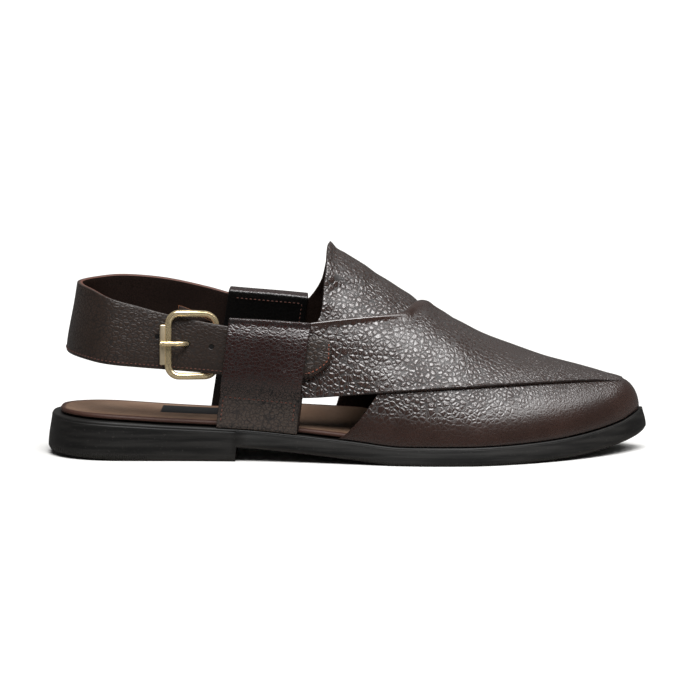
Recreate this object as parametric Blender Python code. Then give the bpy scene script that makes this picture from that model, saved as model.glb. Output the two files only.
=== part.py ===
# Peshawari chappal, one right shoe with a buckled heel strap.
#
# The toe points along +X, the lateral side faces -Y and the sole stands on z = 0.
# Every leather piece lies on one last surface, which the functions below work
# out from the sole's length, the ball width, the instep height and the heel lift.

import math

import bmesh
import bpy
from mathutils import Vector

# Driving sizes, in metres
SOLE_LENGTH = 0.301
BALL_WIDTH = 0.104
INSTEP_HEIGHT = 0.094
ANKLE_HEIGHT = 0.086
HEEL_LIFT = 0.012
HEEL_BEVEL = 0.0022
SOLE_SHEET = 0.0088
TOE_SPRING = 0.0106
SOLE_FLARE = 0.002
SOLE_EDGE = 0.0009
INSOLE_THICKNESS = 0.0027
INSOLE_MARGIN = 0.0063
UPPER_MARGIN = 0.0035
LEATHER = 0.0018
LAP = 0.0003
LAP_BEDDING = 0.0006
GAP = 0.0003
STRAP_THICKNESS = 0.003
STRAP_TIP_RADIUS = 0.009
LOOP_LINING = 0.0015
LOOP_CORNER = 0.0003
STRAP_BACK_INSET = 0.0083
STRAP_BACK_LEAN = 0.0065
BUCKLE_WIRE = 0.0027
BUCKLE_TOP = 0.0736
BUCKLE_BOTTOM = 0.0412
BUCKLE_CORNER = 0.0055
AXLE_WIRE = 0.0014
ROLLER_WIDTH = 0.0034
PRONG_WIRE = 0.0021
PRONG_HEIGHT = 0.0578
PRONG_HOLE = 0.0040
BREAST_RAMP = 0.0006

# Places along the sole, as shares of its length from the back
BREAST = 0.315
HEEL_ARC = 0.13
HEEL_ROUND = 0.13
TOE_ROUND = 0.30
BUCKLE_LEFT = 0.2085
BUCKLE_RIGHT = 0.2835
ROLLER_PLACE = 0.1970
PRONG_PLACE = 0.2385
LOOP_REAR = 0.2975
LOOP_FRONT = 0.431
LOOP_SLANT = 0.016
FAR_LOOP_REAR = 0.2805
FAR_LOOP_FRONT = 0.4155
FAR_LOOP_SLANT = 0.045
WING_END = 0.352
CROSSING = 0.634
PEAK = 0.471
COLLAR_FOOT = 0.442
TIP_ROUND = 0.94
LAST_END = 1 - UPPER_MARGIN / SOLE_LENGTH
BAND_FAN = 0.87
VAMP_FRONT = 0.9605
BAND_REAR = 0.490
STRAP_TIP = 0.474
STRAP_END = 0.42
BAND_LEAN = 0.048


class Table:
    """Rows of shares with named columns, read along a smooth curve."""

    def __init__(self, columns, rows):
        self.at = [row[0] for row in rows]
        self.columns = {name: [row[k] for row in rows] for k, name in enumerate(columns)}

    def slope(self, values, k):
        low = max(k - 1, 0)
        high = min(k + 1, len(values) - 1)
        return (values[high] - values[low]) / (self.at[high] - self.at[low])

    def read(self, column, at):
        values = self.columns[column]
        if at <= self.at[0]:
            return values[0]
        if at >= self.at[-1]:
            return values[-1]
        k = max(i for i in range(len(self.at) - 1) if self.at[i] <= at)
        step = self.at[k + 1] - self.at[k]
        t = (at - self.at[k]) / step
        rise = values[k] * (2 * t**3 - 3 * t**2 + 1)
        rise += values[k + 1] * (3 * t**2 - 2 * t**3)
        rise += self.slope(values, k) * step * (t**3 - 2 * t**2 + t)
        return rise + self.slope(values, k + 1) * step * (t**3 - t**2)


# Plan of the sole, in shares of the ball width; the two ends are rounded by a formula.
PLAN = Table(
    ("at", "lateral", "medial", "centre"),
    [
        (0.00, 0.335, 0.315, 0.010),
        (0.12, 0.335, 0.315, 0.008),
        (0.25, 0.335, 0.300, 0.004),
        (0.36, 0.352, 0.285, 0.000),
        (0.47, 0.410, 0.340, -0.002),
        (0.58, 0.480, 0.452, 0.000),
        (0.67, 0.500, 0.498, 0.006),
        (0.80, 0.485, 0.485, 0.024),
        (1.00, 0.460, 0.450, 0.090),
    ],
)

# Side profile of the sole: heel in shares of the heel lift, spring of the toe spring,
# sheet of the sheet thickness.
PROFILE = Table(
    ("at", "heel", "spring", "sheet"),
    [
        (0.00, 1.00, 0.00, 1.00),
        (0.10, 0.88, 0.00, 1.00),
        (0.20, 0.73, 0.00, 1.00),
        (0.315, 0.59, 0.00, 1.00),
        (0.41, 0.41, 0.00, 1.00),
        (0.50, 0.21, 0.00, 1.00),
        (0.585, 0.00, 0.00, 1.00),
        (0.70, 0.00, 0.00, 1.00),
        (0.80, 0.00, 0.07, 1.02),
        (0.88, 0.00, 0.20, 1.10),
        (0.95, 0.00, 0.53, 1.15),
        (0.98, 0.00, 0.76, 1.28),
        (1.00, 0.00, 1.00, 1.38),
    ],
)

# Cross-sections of the last: ridge height above the sole in shares of the instep height,
# ridge place across in shares of the ball width, and the fullness of the two quarters.
SECTIONS = Table(
    ("at", "ridge", "across", "full_width", "full_height"),
    [
        (0.00, 1.16, 0.05, 2.0, 1.7),
        (0.30, 1.16, 0.05, 2.0, 1.7),
        (0.40, 1.11, 0.055, 1.95, 1.6),
        (0.471, 0.985, 0.06, 1.9, 1.5),
        (0.52, 0.885, 0.06, 1.9, 1.5),
        (0.56, 0.815, 0.06, 1.9, 1.5),
        (0.60, 0.736, 0.065, 1.9, 1.5),
        (0.64, 0.665, 0.07, 1.9, 1.5),
        (0.68, 0.586, 0.07, 1.95, 1.52),
        (0.72, 0.508, 0.08, 2.0, 1.57),
        (0.76, 0.452, 0.09, 2.05, 1.65),
        (0.82, 0.381, 0.10, 2.15, 1.8),
        (0.88, 0.312, 0.10, 2.2, 1.9),
        (0.94, 0.232, 0.10, 2.3, 2.0),
        (1.00, 0.180, 0.10, 2.3, 2.0),
    ],
)

# Heights of the panels' edges above the floor, in shares of the instep height.
PANEL_EDGES = Table(
    ("at", "low", "band_top", "collar", "throat"),
    [
        (0.35, 0.340, 0.46, 0.790, 0.672),
        (0.43, 0.335, 0.46, 0.775, 0.680),
        (0.50, 0.352, 0.46, 0.780, 0.718),
        (0.60, 0.376, 0.46, 0.800, 0.748),
        (0.70, 0.386, 0.46, 0.800, 0.790),
        (0.80, 0.388, 0.455, 0.800, 0.790),
        (0.90, 0.381, 0.440, 0.800, 0.790),
        (1.00, 0.362, 0.420, 0.800, 0.790),
    ],
)

# Edges of the heel strap above the floor, in shares of the ankle height.
STRAP = Table(
    ("at", "near_low", "near_high", "far_low", "far_high"),
    [
        (0.02, 0.590, 0.990, 0.590, 0.990),
        (0.06, 0.574, 0.968, 0.600, 0.995),
        (0.10, 0.553, 0.925, 0.607, 1.000),
        (0.15, 0.537, 0.882, 0.610, 0.995),
        (0.20, 0.523, 0.835, 0.603, 0.975),
        (0.26, 0.506, 0.792, 0.585, 0.930),
        (0.31, 0.490, 0.762, 0.567, 0.885),
        (0.38, 0.480, 0.730, 0.545, 0.860),
        (0.44, 0.475, 0.703, 0.530, 0.830),
        (0.48, 0.475, 0.685, 0.530, 0.820),
    ],
)

# Tops of the two side loops, in shares of the ankle height.
LOOP_TOP = Table(
    ("at", "near", "far"),
    [
        (0.28, 0.815, 0.930),
        (0.37, 0.797, 0.905),
        (0.45, 0.772, 0.872),
    ],
)

# The near loop's outer wall, in shares of the way from flat to over the strap.
LOOP_SWELL = Table(
    ("rise", "out"),
    [
        (0.00, 0.00),
        (0.26, 0.04),
        (0.33, 0.32),
        (0.39, 0.80),
        (0.44, 1.00),
        (0.60, 1.00),
        (1.00, 1.00),
    ],
)


def smooth(value, low, high):
    share = min(max((value - low) / (high - low), 0.0), 1.0)
    return share * share * (3 - 2 * share)


def place(at):
    return (at - 0.5) * SOLE_LENGTH


def rounding(at):
    """How far the plan has closed in towards the heel or the toe tip."""
    if at < HEEL_ROUND:
        share = min((HEEL_ROUND - at) / HEEL_ROUND, 1.0)
        return (1 - share**2.2) ** (1 / 2.2)
    if at > 1 - TOE_ROUND:
        share = min((at - 1 + TOE_ROUND) / TOE_ROUND, 1.0)
        return (1 - share**1.6) ** (1 / 1.6)
    return 1.0


def plan(at, side):
    """Edge of the sole across, at one share of the length; side -1 lateral, +1 medial."""
    half = PLAN.read("lateral" if side < 0 else "medial", at)
    return BALL_WIDTH * (PLAN.read("centre", at) + side * half * rounding(at))


def underside(at):
    """Height of the sheet's lower face; it is level where the forepart stands."""
    return max(PROFILE.read("heel", at) * HEEL_LIFT + PROFILE.read("spring", at) * TOE_SPRING, 0.0)


def sole_top(at):
    return underside(at) + PROFILE.read("sheet", at) * SOLE_SHEET


def sole_bottom(at):
    """Ground face: the heel block, the step at its breast, then the waist and forepart."""
    ramp = BREAST_RAMP / SOLE_LENGTH
    if at >= BREAST + ramp:
        return underside(at)
    bevel = HEEL_BEVEL * max(1 - at / (0.6 * BREAST), 0.0) ** 1.4
    return bevel if at <= BREAST else underside(at) * (at - BREAST) / ramp


def seat(at):
    """Level where upper and insole rest on the sole."""
    return sole_top(at) + GAP


def feather(at, side):
    """The last's lower edge, inside the sole's outline, also at its two ends."""
    span = 1 - 2 * UPPER_MARGIN / SOLE_LENGTH
    inner = min(max((at - 0.5) / span + 0.5, 0.0), 1.0)
    return plan(inner, side) - side * UPPER_MARGIN * rounding(inner)


def last_section(at):
    """Ridge place across and ridge height above the seat; the tip is rounded."""
    share = min(max((at - TIP_ROUND) / (LAST_END - TIP_ROUND), 0.0), 1.0)
    tip = (1 - share**2.4) ** 0.55
    ridge_y = SECTIONS.read("across", at) * BALL_WIDTH
    return ridge_y, SECTIONS.read("ridge", at) * INSTEP_HEIGHT * tip + 1e-5


def last_point(at, turn):
    """Point on the last: turn 0 at the lateral feather, pi/2 on the ridge, pi medial."""
    ridge_y, height = last_section(at)
    side = -1 if turn < math.pi / 2 else 1
    reach = feather(at, side) - ridge_y
    cosine = abs(math.cos(turn)) ** (2 / SECTIONS.read("full_width", at))
    sine = max(math.sin(turn), 0.0) ** (2 / SECTIONS.read("full_height", at))
    return Vector((place(at), ridge_y + reach * cosine, seat(at) + height * sine))


def turn_at_height(at, level, side=-1):
    """The turn at which the last reaches a level above the floor."""
    ridge_y, height = last_section(at)
    share = min(max((level - seat(at)) / height, 0.0), 1.0)
    turn = math.asin(min(share ** (SECTIONS.read("full_height", at) / 2), 1.0))
    return turn if side < 0 else math.pi - turn


def outward(surface, u, v, step):
    """Unit normal of a surface function, pointing away from the foot."""
    low_u, high_u = surface(u - step, v), surface(u + step, v)
    low_v, high_v = surface(u, v - step), surface(u, v + step)
    return (high_u - low_u).cross(high_v - low_v).normalized()


def last_offset(at, turn, depth):
    """Point off the last along its normal, which lies level at the feather."""
    point = last_point(at, turn)
    near_turn = min(max(turn, 0.12), math.pi - 0.12)
    normal = outward(last_point, min(at, LAST_END - 0.0025), near_turn, 0.002)
    normal.z *= smooth(point.z - seat(at), 0.0, 4 * LEATHER)
    return point + normal.normalized() * depth


def wall_point(run, level):
    """Side wall round the heel: run -1 lateral front, 0 back of the heel, +1 medial front."""
    side = -1 if run < 0 else 1
    arc = 0.3
    if abs(run) >= arc:
        at = HEEL_ARC + (abs(run) - arc) * 0.5
        return last_point(at, turn_at_height(at, level, side))
    angle = abs(run) / arc * math.pi / 2
    start = last_point(HEEL_ARC, turn_at_height(HEEL_ARC, level, side))
    ridge_y = last_section(HEEL_ARC)[0]
    lean = STRAP_BACK_LEAN * smooth(level, 0.5 * ANKLE_HEIGHT, 1.05 * ANKLE_HEIGHT)
    depth = HEEL_ARC * SOLE_LENGTH - STRAP_BACK_INSET - lean - STRAP_THICKNESS - LEATHER
    across = ridge_y + (start.y - ridge_y) * math.sin(angle)
    return Vector((start.x - depth * math.cos(angle), across, start.z))


def wall_normal(run, level):
    return -outward(wall_point, run, level, 0.002)


def wall_offset(run, level, depth):
    return wall_point(run, level) + wall_normal(run, level) * depth


def run_at(at, side):
    return side * (0.3 + (at - HEEL_ARC) / 0.5)


def at_of_run(run):
    if abs(run) >= 0.3:
        return HEEL_ARC + (abs(run) - 0.3) * 0.5
    return 0.02 + (HEEL_ARC - 0.02) * (abs(run) / 0.3) ** 1.6


def lerp(a, b, share):
    return a + (b - a) * share


def make_object(name, points, faces, material):
    mesh = bpy.data.meshes.new(name)
    mesh.from_pydata([tuple(point) for point in points], [], faces)
    work = bmesh.new()
    work.from_mesh(mesh)
    bmesh.ops.recalc_face_normals(work, faces=work.faces)
    if work.calc_volume(signed=True) < 0:
        bmesh.ops.reverse_faces(work, faces=work.faces)
    work.to_mesh(mesh)
    work.free()
    made = bpy.data.objects.new(name, mesh)
    bpy.context.scene.collection.objects.link(made)
    mesh.materials.append(material)
    return made


def make_material(name, colour, roughness, metallic=0.0):
    material = bpy.data.materials.new(name)
    material.use_nodes = True
    shader = material.node_tree.nodes["Principled BSDF"]
    shader.inputs["Base Color"].default_value = (*colour, 1.0)
    shader.inputs["Roughness"].default_value = roughness
    shader.inputs["Metallic"].default_value = metallic
    return material


def shell(name, rows, columns, outer, inner, material):
    """A closed wall between two surface functions of (row share, column share)."""
    points = []
    for surface in (outer, inner):
        for i in range(rows + 1):
            points += [surface(i / rows, j / columns) for j in range(columns + 1)]
    width = columns + 1
    layer = (rows + 1) * width
    faces = []
    for i in range(rows):
        for j in range(columns):
            a, b = i * width + j, i * width + j + 1
            c, d = b + width, a + width
            faces.append((a, b, c, d))
            faces.append((a + layer, d + layer, c + layer, b + layer))
    rim = [j for j in range(width)]
    rim += [i * width + columns for i in range(1, rows + 1)]
    rim += [rows * width + j for j in range(columns - 1, -1, -1)]
    rim += [i * width for i in range(rows - 1, 0, -1)]
    for a, b in zip(rim, rim[1:] + rim[:1]):
        faces.append((b, a, a + layer, b + layer))
    return make_object(name, points, faces, material)


def tube(name, centres, frames, radius, sides, material, closed=False):
    """A round wire along given centres; frames hold two unit vectors across each."""
    points = []
    for centre, (across, up) in zip(centres, frames):
        for k in range(sides):
            angle = 2 * math.pi * k / sides
            points.append(centre + across * radius * math.cos(angle) + up * radius * math.sin(angle))
    faces = []
    count = len(centres)
    for i in range(count if closed else count - 1):
        for k in range(sides):
            a, b = i * sides + k, i * sides + (k + 1) % sides
            shift = ((i + 1) % count) * sides
            faces.append((a, b, shift + (k + 1) % sides, shift + k))
    if not closed:
        faces.append(tuple(range(sides - 1, -1, -1)))
        faces.append(tuple((count - 1) * sides + k for k in range(sides)))
    return make_object(name, points, faces, material)


def path_frames(centres, closed=False):
    """Vectors across a path, carried along it without twist."""
    count = len(centres)
    frames = []
    across = None
    for i, centre in enumerate(centres):
        ahead = centres[(i + 1) % count] if closed or i + 1 < count else centre
        behind = centres[i - 1] if closed or i > 0 else centre
        along = (ahead - behind).normalized()
        if across is None:
            across = along.cross(Vector((0.31, 0.87, 0.38))).normalized()
        across = (across - along * across.dot(along)).normalized()
        frames.append((across, along.cross(across)))
    return frames


def join_solids(name, first, others):
    """Union of overlapping solids into the first, with the exact solver."""
    for other in others:
        union = first.modifiers.new("join " + other.name, "BOOLEAN")
        union.operation = "UNION"
        union.solver = "EXACT"
        union.object = other
    graph = bpy.context.evaluated_depsgraph_get()
    joined = bpy.data.meshes.new_from_object(first.evaluated_get(graph))
    first.modifiers.clear()
    first.data = joined
    for other in others:
        bpy.data.objects.remove(other)
    first.name = name
    joined.name = name
    return first


def along_sole(count, extra=()):
    """Shares of the length, closer together at the two rounded ends."""
    stations = [0.5 - 0.5 * math.cos(math.pi * k / count) for k in range(count + 1)]
    return sorted(set(stations[1:-1]) | set(extra))


def plan_ring(stations, margin, level, toe_extra=0.0):
    """Closed ring round a plan outline, moved in by a margin, at a level per station."""
    def margin_at(at):
        return margin + toe_extra * smooth(at, 0.70, 0.86)

    def moved(at):
        shift = margin_at(at) * math.sqrt(1 - rounding(at) ** 2) / SOLE_LENGTH
        return at + shift if at < 0.5 else at - shift

    def corner(at, side):
        across = plan(at, side) - side * margin_at(at) * rounding(at)
        return Vector((place(moved(at)), across, level(moved(at))))

    lateral = [corner(at, -1) for at in stations]
    medial = [corner(at, 1) for at in stations]
    return [corner(0, 1)] + lateral + [corner(1, 1)] + medial[::-1]


def slab(name, rings, material):
    """Solid between stacked rings; its top and bottom are strips across the plan."""
    count = len(rings[0])
    half = count // 2
    points = [point for ring in rings for point in ring]
    faces = []
    for level in range(len(rings) - 1):
        base = level * count
        for k in range(count):
            a, b = base + k, base + (k + 1) % count
            faces.append((a, b, b + count, a + count))
    for base, upward in ((0, False), ((len(rings) - 1) * count, True)):
        for k in range(half):
            corners = [base + k, base + k + 1, base + (count - k - 1) % count, base + (count - k) % count]
            corners = list(dict.fromkeys(corners))
            faces.append(tuple(corners if upward else corners[::-1]))
    return make_object(name, points, faces, material)


def make_outsole(material):
    """Moulded rubber sole with its heel in one, flared towards the ground."""
    ramp = BREAST_RAMP / SOLE_LENGTH
    stations = along_sole(44, (BREAST, BREAST + ramp))
    rings = [
        plan_ring(stations, SOLE_EDGE, sole_bottom),
        plan_ring(stations, 0.0, lambda at: sole_bottom(at) + SOLE_EDGE),
        plan_ring(stations, 0.35 * SOLE_FLARE, lambda at: lerp(underside(at), sole_top(at), 0.5)),
        plan_ring(stations, SOLE_FLARE, lambda at: sole_top(at) - 0.4 * SOLE_EDGE),
        plan_ring(stations, SOLE_FLARE + 0.5 * SOLE_EDGE, sole_top),
    ]
    return slab("outsole", rings, material)


def make_insole(material):
    """Padded sock board with a rolled rim, inside the upper."""
    stations = along_sole(40)
    roll = 0.3 * INSOLE_THICKNESS
    rings = [
        plan_ring(stations, INSOLE_MARGIN + roll, seat, 2 * LEATHER),
        plan_ring(stations, INSOLE_MARGIN, lambda at: seat(at) + roll, 2 * LEATHER),
        plan_ring(stations, INSOLE_MARGIN, lambda at: seat(at) + INSOLE_THICKNESS - roll, 2 * LEATHER),
        plan_ring(stations, INSOLE_MARGIN + roll, lambda at: seat(at) + INSOLE_THICKNESS, 2 * LEATHER),
    ]
    return slab("insole", rings, material)


def edge_turn(column, at, side=-1):
    return turn_at_height(at, PANEL_EDGES.read(column, at) * INSTEP_HEIGHT, side)


def medial_lift(turn):
    """Step up of the crossing panels as they pass over to the medial side."""
    return (LEATHER - LAP) * smooth(turn, math.radians(75), math.radians(112))


def fan_edge(angle):
    """Distance from the fan's centre to the feather line, along one direction in plan."""
    centre_y = last_section(BAND_FAN)[0]
    low, high = 0.0, 0.5 * BALL_WIDTH
    for _ in range(40):
        reach = (low + high) / 2
        at = BAND_FAN + reach * math.cos(angle) / SOLE_LENGTH
        across = centre_y + reach * math.sin(angle)
        inside = at < LAST_END and feather(at, -1) < across < feather(at, 1)
        low, high = (reach, high) if inside else (low, reach)
    return low


def band_point(share, rise, depth):
    """Point on the toe band: level sections along the sides, a fan round the toe."""
    side_share = 0.34
    near_end = min(share, 1 - share) / side_share
    if near_end <= 1:
        side = -1 if share < 0.5 else 1
        lean = BAND_LEAN * (1 - smooth(near_end, 0.0, 0.25))
        at = lerp(BAND_REAR, BAND_FAN, near_end) + lean * rise
        turn = rise * edge_turn("band_top", at)
        return last_offset(at, turn if side < 0 else math.pi - turn, depth)
    angle = lerp(-math.pi / 2, math.pi / 2, (share - side_share) / (1 - 2 * side_share))
    level = rise * edge_turn("band_top", BAND_FAN)
    spread = math.cos(level) ** (2 / SECTIONS.read("full_width", BAND_FAN))
    reach = fan_edge(angle) * spread
    at = BAND_FAN + reach * math.cos(angle) / SOLE_LENGTH
    ridge_y = last_section(at)[0]
    across = last_section(BAND_FAN)[0] + reach * math.sin(angle) - ridge_y
    width = abs(feather(at, -1 if across < 0 else 1) - ridge_y) + 1e-6
    turn = math.acos(min(abs(across) / width, 1.0) ** (SECTIONS.read("full_width", at) / 2))
    return last_offset(at, turn if across < 0 else math.pi - turn, depth)


def make_toe_band(material):
    """Lower wall round the toe, from one side of the waist to the other."""
    return shell(
        "toe_band", 56, 5,
        lambda u, v: band_point(u, v, 0.0),
        lambda u, v: band_point(u, v, -LEATHER),
        material,
    )


def under_face(at):
    """Depth of a panel's flesh side, bedded into the pieces that it laps ahead of the loops."""
    return -LEATHER - LAP_BEDDING * smooth(at, 0.445, 0.50)


def collar_edge(share):
    """Rear edge of the cross panel: lateral foot, peak, then down to the medial wing."""
    ridge_share = 0.42
    if share < ridge_share:
        along = share / ridge_share
        at = lerp(0.443, PEAK, along**0.75)
        turn = lerp(turn_at_height(0.443, 0.60 * INSTEP_HEIGHT), math.pi / 2, along)
        return at, turn
    along = (share - ridge_share) / (1 - ridge_share) / 0.62
    if along < 1:
        at = lerp(PEAK, COLLAR_FOOT, along**1.5)
        return at, lerp(math.pi / 2, edge_turn("collar", COLLAR_FOOT, 1), along)
    at = lerp(COLLAR_FOOT, WING_END, (along - 1) * 0.62 / 0.38)
    return at, edge_turn("collar", at, 1)


def cross_hem(share):
    """Hidden front edge of the cross panel, then its medial lower edge to the wing."""
    ridge_share = 0.42
    if share < ridge_share:
        along = share / ridge_share
        at = lerp(0.60, 0.672, along)
        turn = lerp(turn_at_height(0.60, 0.64 * INSTEP_HEIGHT), math.pi / 2, along)
        return at, turn
    along = (share - ridge_share) / (1 - ridge_share)
    if along < 0.3:
        return lerp(0.672, 0.775, along / 0.3), lerp(math.pi / 2, edge_turn("low", 0.775, 1), along / 0.3)
    at = lerp(0.775, WING_END, (along - 0.3) / 0.7)
    return at, edge_turn("low", at, 1)


def cross_point(share, across, outer):
    rear_at, rear_turn = collar_edge(share)
    hem_at, hem_turn = cross_hem(share)
    at = lerp(rear_at, hem_at, across)
    turn = lerp(rear_turn, hem_turn, across)
    depth = 0.0 if outer else under_face(at)
    return last_offset(at, turn, depth + medial_lift(turn))


def make_cross_panel(material):
    """Panel that rises to the peak and carries the medial wing."""
    return shell(
        "cross_panel", 36, 10,
        lambda u, v: cross_point(u, v, True),
        lambda u, v: cross_point(u, v, False),
        material,
    )


def throat_edge(share):
    """Rear edge of the vamp: wing top, up over the crossing, down the medial side."""
    ridge_share = 0.6
    if share < ridge_share:
        at = lerp(WING_END, CROSSING, (share / ridge_share) ** 0.9)
        rest = smooth(at, 0.585, CROSSING)
        turn = lerp(edge_turn("throat", at), math.pi / 2, rest)
        return at, turn
    along = (share - ridge_share) / (1 - ridge_share)
    return lerp(CROSSING, 0.735, along), lerp(math.pi / 2, edge_turn("low", 0.735, 1), along)


def vamp_hem(share):
    """Lower edge of the vamp: wing bottom, along the band, round the toe to the medial side."""
    tip_share = 0.74
    if share < tip_share:
        at = lerp(WING_END, VAMP_FRONT, 1 - (1 - share / tip_share) ** 1.7)
        return at, lerp(edge_turn("low", at), math.pi / 2, smooth(at, VAMP_FRONT - 0.004, VAMP_FRONT))
    along = (share - tip_share) / (1 - tip_share)
    at = lerp(VAMP_FRONT, 0.77, along**1.7)
    return at, lerp(edge_turn("low", at, 1), math.pi / 2, smooth(at, VAMP_FRONT - 0.004, VAMP_FRONT))


def vamp_lift(at, turn):
    far = medial_lift(turn) * (1 - smooth(at, 0.76, 0.84))
    return LEATHER - LAP + far


def vamp_point(share, across, outer):
    rear_at, rear_turn = throat_edge(share)
    hem_at, hem_turn = vamp_hem(share)
    at = lerp(rear_at, hem_at, across)
    turn = lerp(rear_turn, hem_turn, across)
    depth = 0.0 if outer else under_face(at)
    return last_offset(at, turn, depth + vamp_lift(at, turn))


def make_vamp(material):
    """Outer panel over the toe, with the lateral wing that runs into the near loop."""
    return shell(
        "vamp_panel", 50, 11,
        lambda u, v: vamp_point(u, v, True),
        lambda u, v: vamp_point(u, v, False),
        material,
    )


def make_upper(material):
    """The crossed panels and the toe band, joined where they lie on each other."""
    band = make_toe_band(material)
    cross = make_cross_panel(material)
    vamp = make_vamp(material)
    return join_solids("upper", band, [cross, vamp])


STRAP_INNER = LEATHER - LAP + GAP
SLOT_FAR = STRAP_INNER + STRAP_THICKNESS + GAP


def loop_profile(at, side):
    """Outer and slot rings of a side loop, as (depth, level) pairs at one station."""
    top = LOOP_TOP.read("near" if side < 0 else "far", at) * ANKLE_HEIGHT
    base = seat(at)
    slot_low = PANEL_EDGES.read("low", at) * INSTEP_HEIGHT - 1.5 * GAP
    slot_high = top - LEATHER
    count = 9
    outer, slot = [], []
    for k in range(count + 1):
        share = k / count
        out = LOOP_SWELL.read("out", share)
        level = lerp(base, top - LEATHER, share)
        depth = lerp(LEATHER - LAP, SLOT_FAR + LEATHER, out)
        outer.append((depth, level))
        slot_level = lerp(slot_low, slot_high - LOOP_CORNER, share)
        slot_share = (slot_level - base) / (top - LEATHER - base)
        slot_out = LOOP_SWELL.read("out", slot_share)
        slot.append((lerp(STRAP_INNER, SLOT_FAR, slot_out), slot_level))
    inner_face = -LAP - GAP - LOOP_LINING
    middle = (SLOT_FAR + LEATHER + inner_face) / 2
    half = (SLOT_FAR + LEATHER - inner_face) / 2
    for k in range(1, 4):
        angle = math.pi * k / 4
        outer.append((middle + half * math.cos(angle), top - LEATHER * (1 - math.sin(angle) ** 0.6)))
        slot_half = half - LEATHER
        slot.append((middle + slot_half * math.cos(angle), slot_high - LOOP_CORNER * (1 - math.sin(angle))))
    for k in range(count, -1, -1):
        share = k / count
        outer.append((inner_face, lerp(base, top - LEATHER, share)))
        slot.append((inner_face + LOOP_LINING, lerp(slot_low, slot_high - LOOP_CORNER, share)))
    return outer, slot


def make_side_loop(name, side, material):
    """Folded loop that stands on the sole and wraps the wing and the heel strap."""
    near = side < 0
    rear, front = (LOOP_REAR, LOOP_FRONT) if near else (FAR_LOOP_REAR, FAR_LOOP_FRONT)
    slant = LOOP_SLANT if near else FAR_LOOP_SLANT
    stations = 6
    rings = []
    for i in range(stations + 1):
        share = i / stations
        at = lerp(rear, front, share)
        outer, slot = loop_profile(at, side)
        ring = []
        for profile in (outer, slot):
            part = []
            for depth, level in profile:
                lean = slant * ((level - 0.5 * ANKLE_HEIGHT) / ANKLE_HEIGHT)
                part.append(wall_offset(run_at(at + lean, side), level, depth))
            ring.append(part)
        rings.append(ring)
    count = len(rings[0][0])
    points = [point for ring in rings for part in ring for point in part]
    faces = []
    for i in range(stations):
        for part in (0, 1):
            base = (2 * i + part) * count
            for k in range(count):
                a, b = base + k, base + (k + 1) % count
                face = (a, b, b + 2 * count, a + 2 * count)
                faces.append(face if part == 0 else face[::-1])
    for i, flip in ((0, True), (stations, False)):
        base = 2 * i * count
        for k in range(count):
            a, b = base + k, base + (k + 1) % count
            face = (a, b, b + count, a + count)
            faces.append(face if flip else face[::-1])
    return make_object(name, points, faces, material)


def strap_levels(run):
    at = at_of_run(run)
    names = ("near_low", "near_high") if run < 0 else ("far_low", "far_high")
    return [STRAP.read(name, at) * ANKLE_HEIGHT for name in names]


def strap_run(share):
    """Run along the strap from its lateral tip to its end inside the medial loop."""
    tip, end = run_at(STRAP_TIP, -1), run_at(STRAP_END, 1)
    near_tip = tip + (end - tip) * 0.05
    if share < 0.1:
        return lerp(tip, near_tip, (share / 0.1) ** 1.6)
    return lerp(near_tip, end, (share - 0.1) / 0.9)


def strap_point(share, rise, depth):
    """Point on the strap; its tip is rounded, with the longer curve below."""
    run = strap_run(share)
    low, high = strap_levels(run)
    reach = (run - run_at(STRAP_TIP, -1)) * 0.5 * SOLE_LENGTH
    tip = max(1 - reach / (2 * STRAP_TIP_RADIUS), 0.0)
    upper_tip = max(1 - reach / (0.4 * STRAP_TIP_RADIUS), 0.0)
    middle = lerp(low, high, 0.68)
    low = lerp(middle - 0.001, low, math.sqrt(max(1 - tip**2, 0.0)))
    high = lerp(high, lerp(middle, high, 0.6), upper_tip**2)
    return wall_offset(run, lerp(low, high, rise), depth)


def make_heel_strap(material):
    """Strap from the medial loop round the heel, under the buckle, to its rounded tip."""
    strap = shell(
        "heel_strap", 64, 3,
        lambda u, v: strap_point(u, v, STRAP_INNER + STRAP_THICKNESS),
        lambda u, v: strap_point(u, v, STRAP_INNER),
        material,
    )
    run = run_at(PRONG_PLACE, -1)
    axis = wall_normal(run, PRONG_HEIGHT)
    middle = wall_offset(run, PRONG_HEIGHT, STRAP_INNER + STRAP_THICKNESS / 2)
    across = axis.cross(Vector((0, 0, 1))).normalized()
    reach = axis * STRAP_THICKNESS
    frames = [(across, axis.cross(across))] * 2
    punch = tube("punch", [middle - reach, middle + reach], frames, PRONG_HOLE / 2, 16, material)
    punch.hide_render = True
    punch.display_type = "WIRE"
    cut = strap.modifiers.new("prong hole", "BOOLEAN")
    cut.operation = "DIFFERENCE"
    cut.solver = "EXACT"
    cut.object = punch
    graph = bpy.context.evaluated_depsgraph_get()
    strap.data = bpy.data.meshes.new_from_object(strap.evaluated_get(graph))
    strap.modifiers.clear()
    bpy.data.objects.remove(punch)
    return strap


def guard_depth(at):
    """Outer face of the buckle strap: behind the hidden bar, then up into the loop."""
    bar = STRAP_INNER - 2 * GAP - BUCKLE_WIRE
    rise = smooth(at, BUCKLE_RIGHT + 0.003, LOOP_REAR - 0.001)
    return lerp(bar - GAP, LEATHER - LAP, rise)


def guard_point(share, rise, depth):
    at = lerp(0.222, WING_END - 0.006, share)
    low = STRAP.read("near_low", at) * ANKLE_HEIGHT + 0.004
    top = lerp(0.0765, 0.0660, smooth(at, 0.215, 0.305))
    return wall_offset(run_at(at, -1), lerp(low, top, rise), guard_depth(at) + depth)


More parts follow.
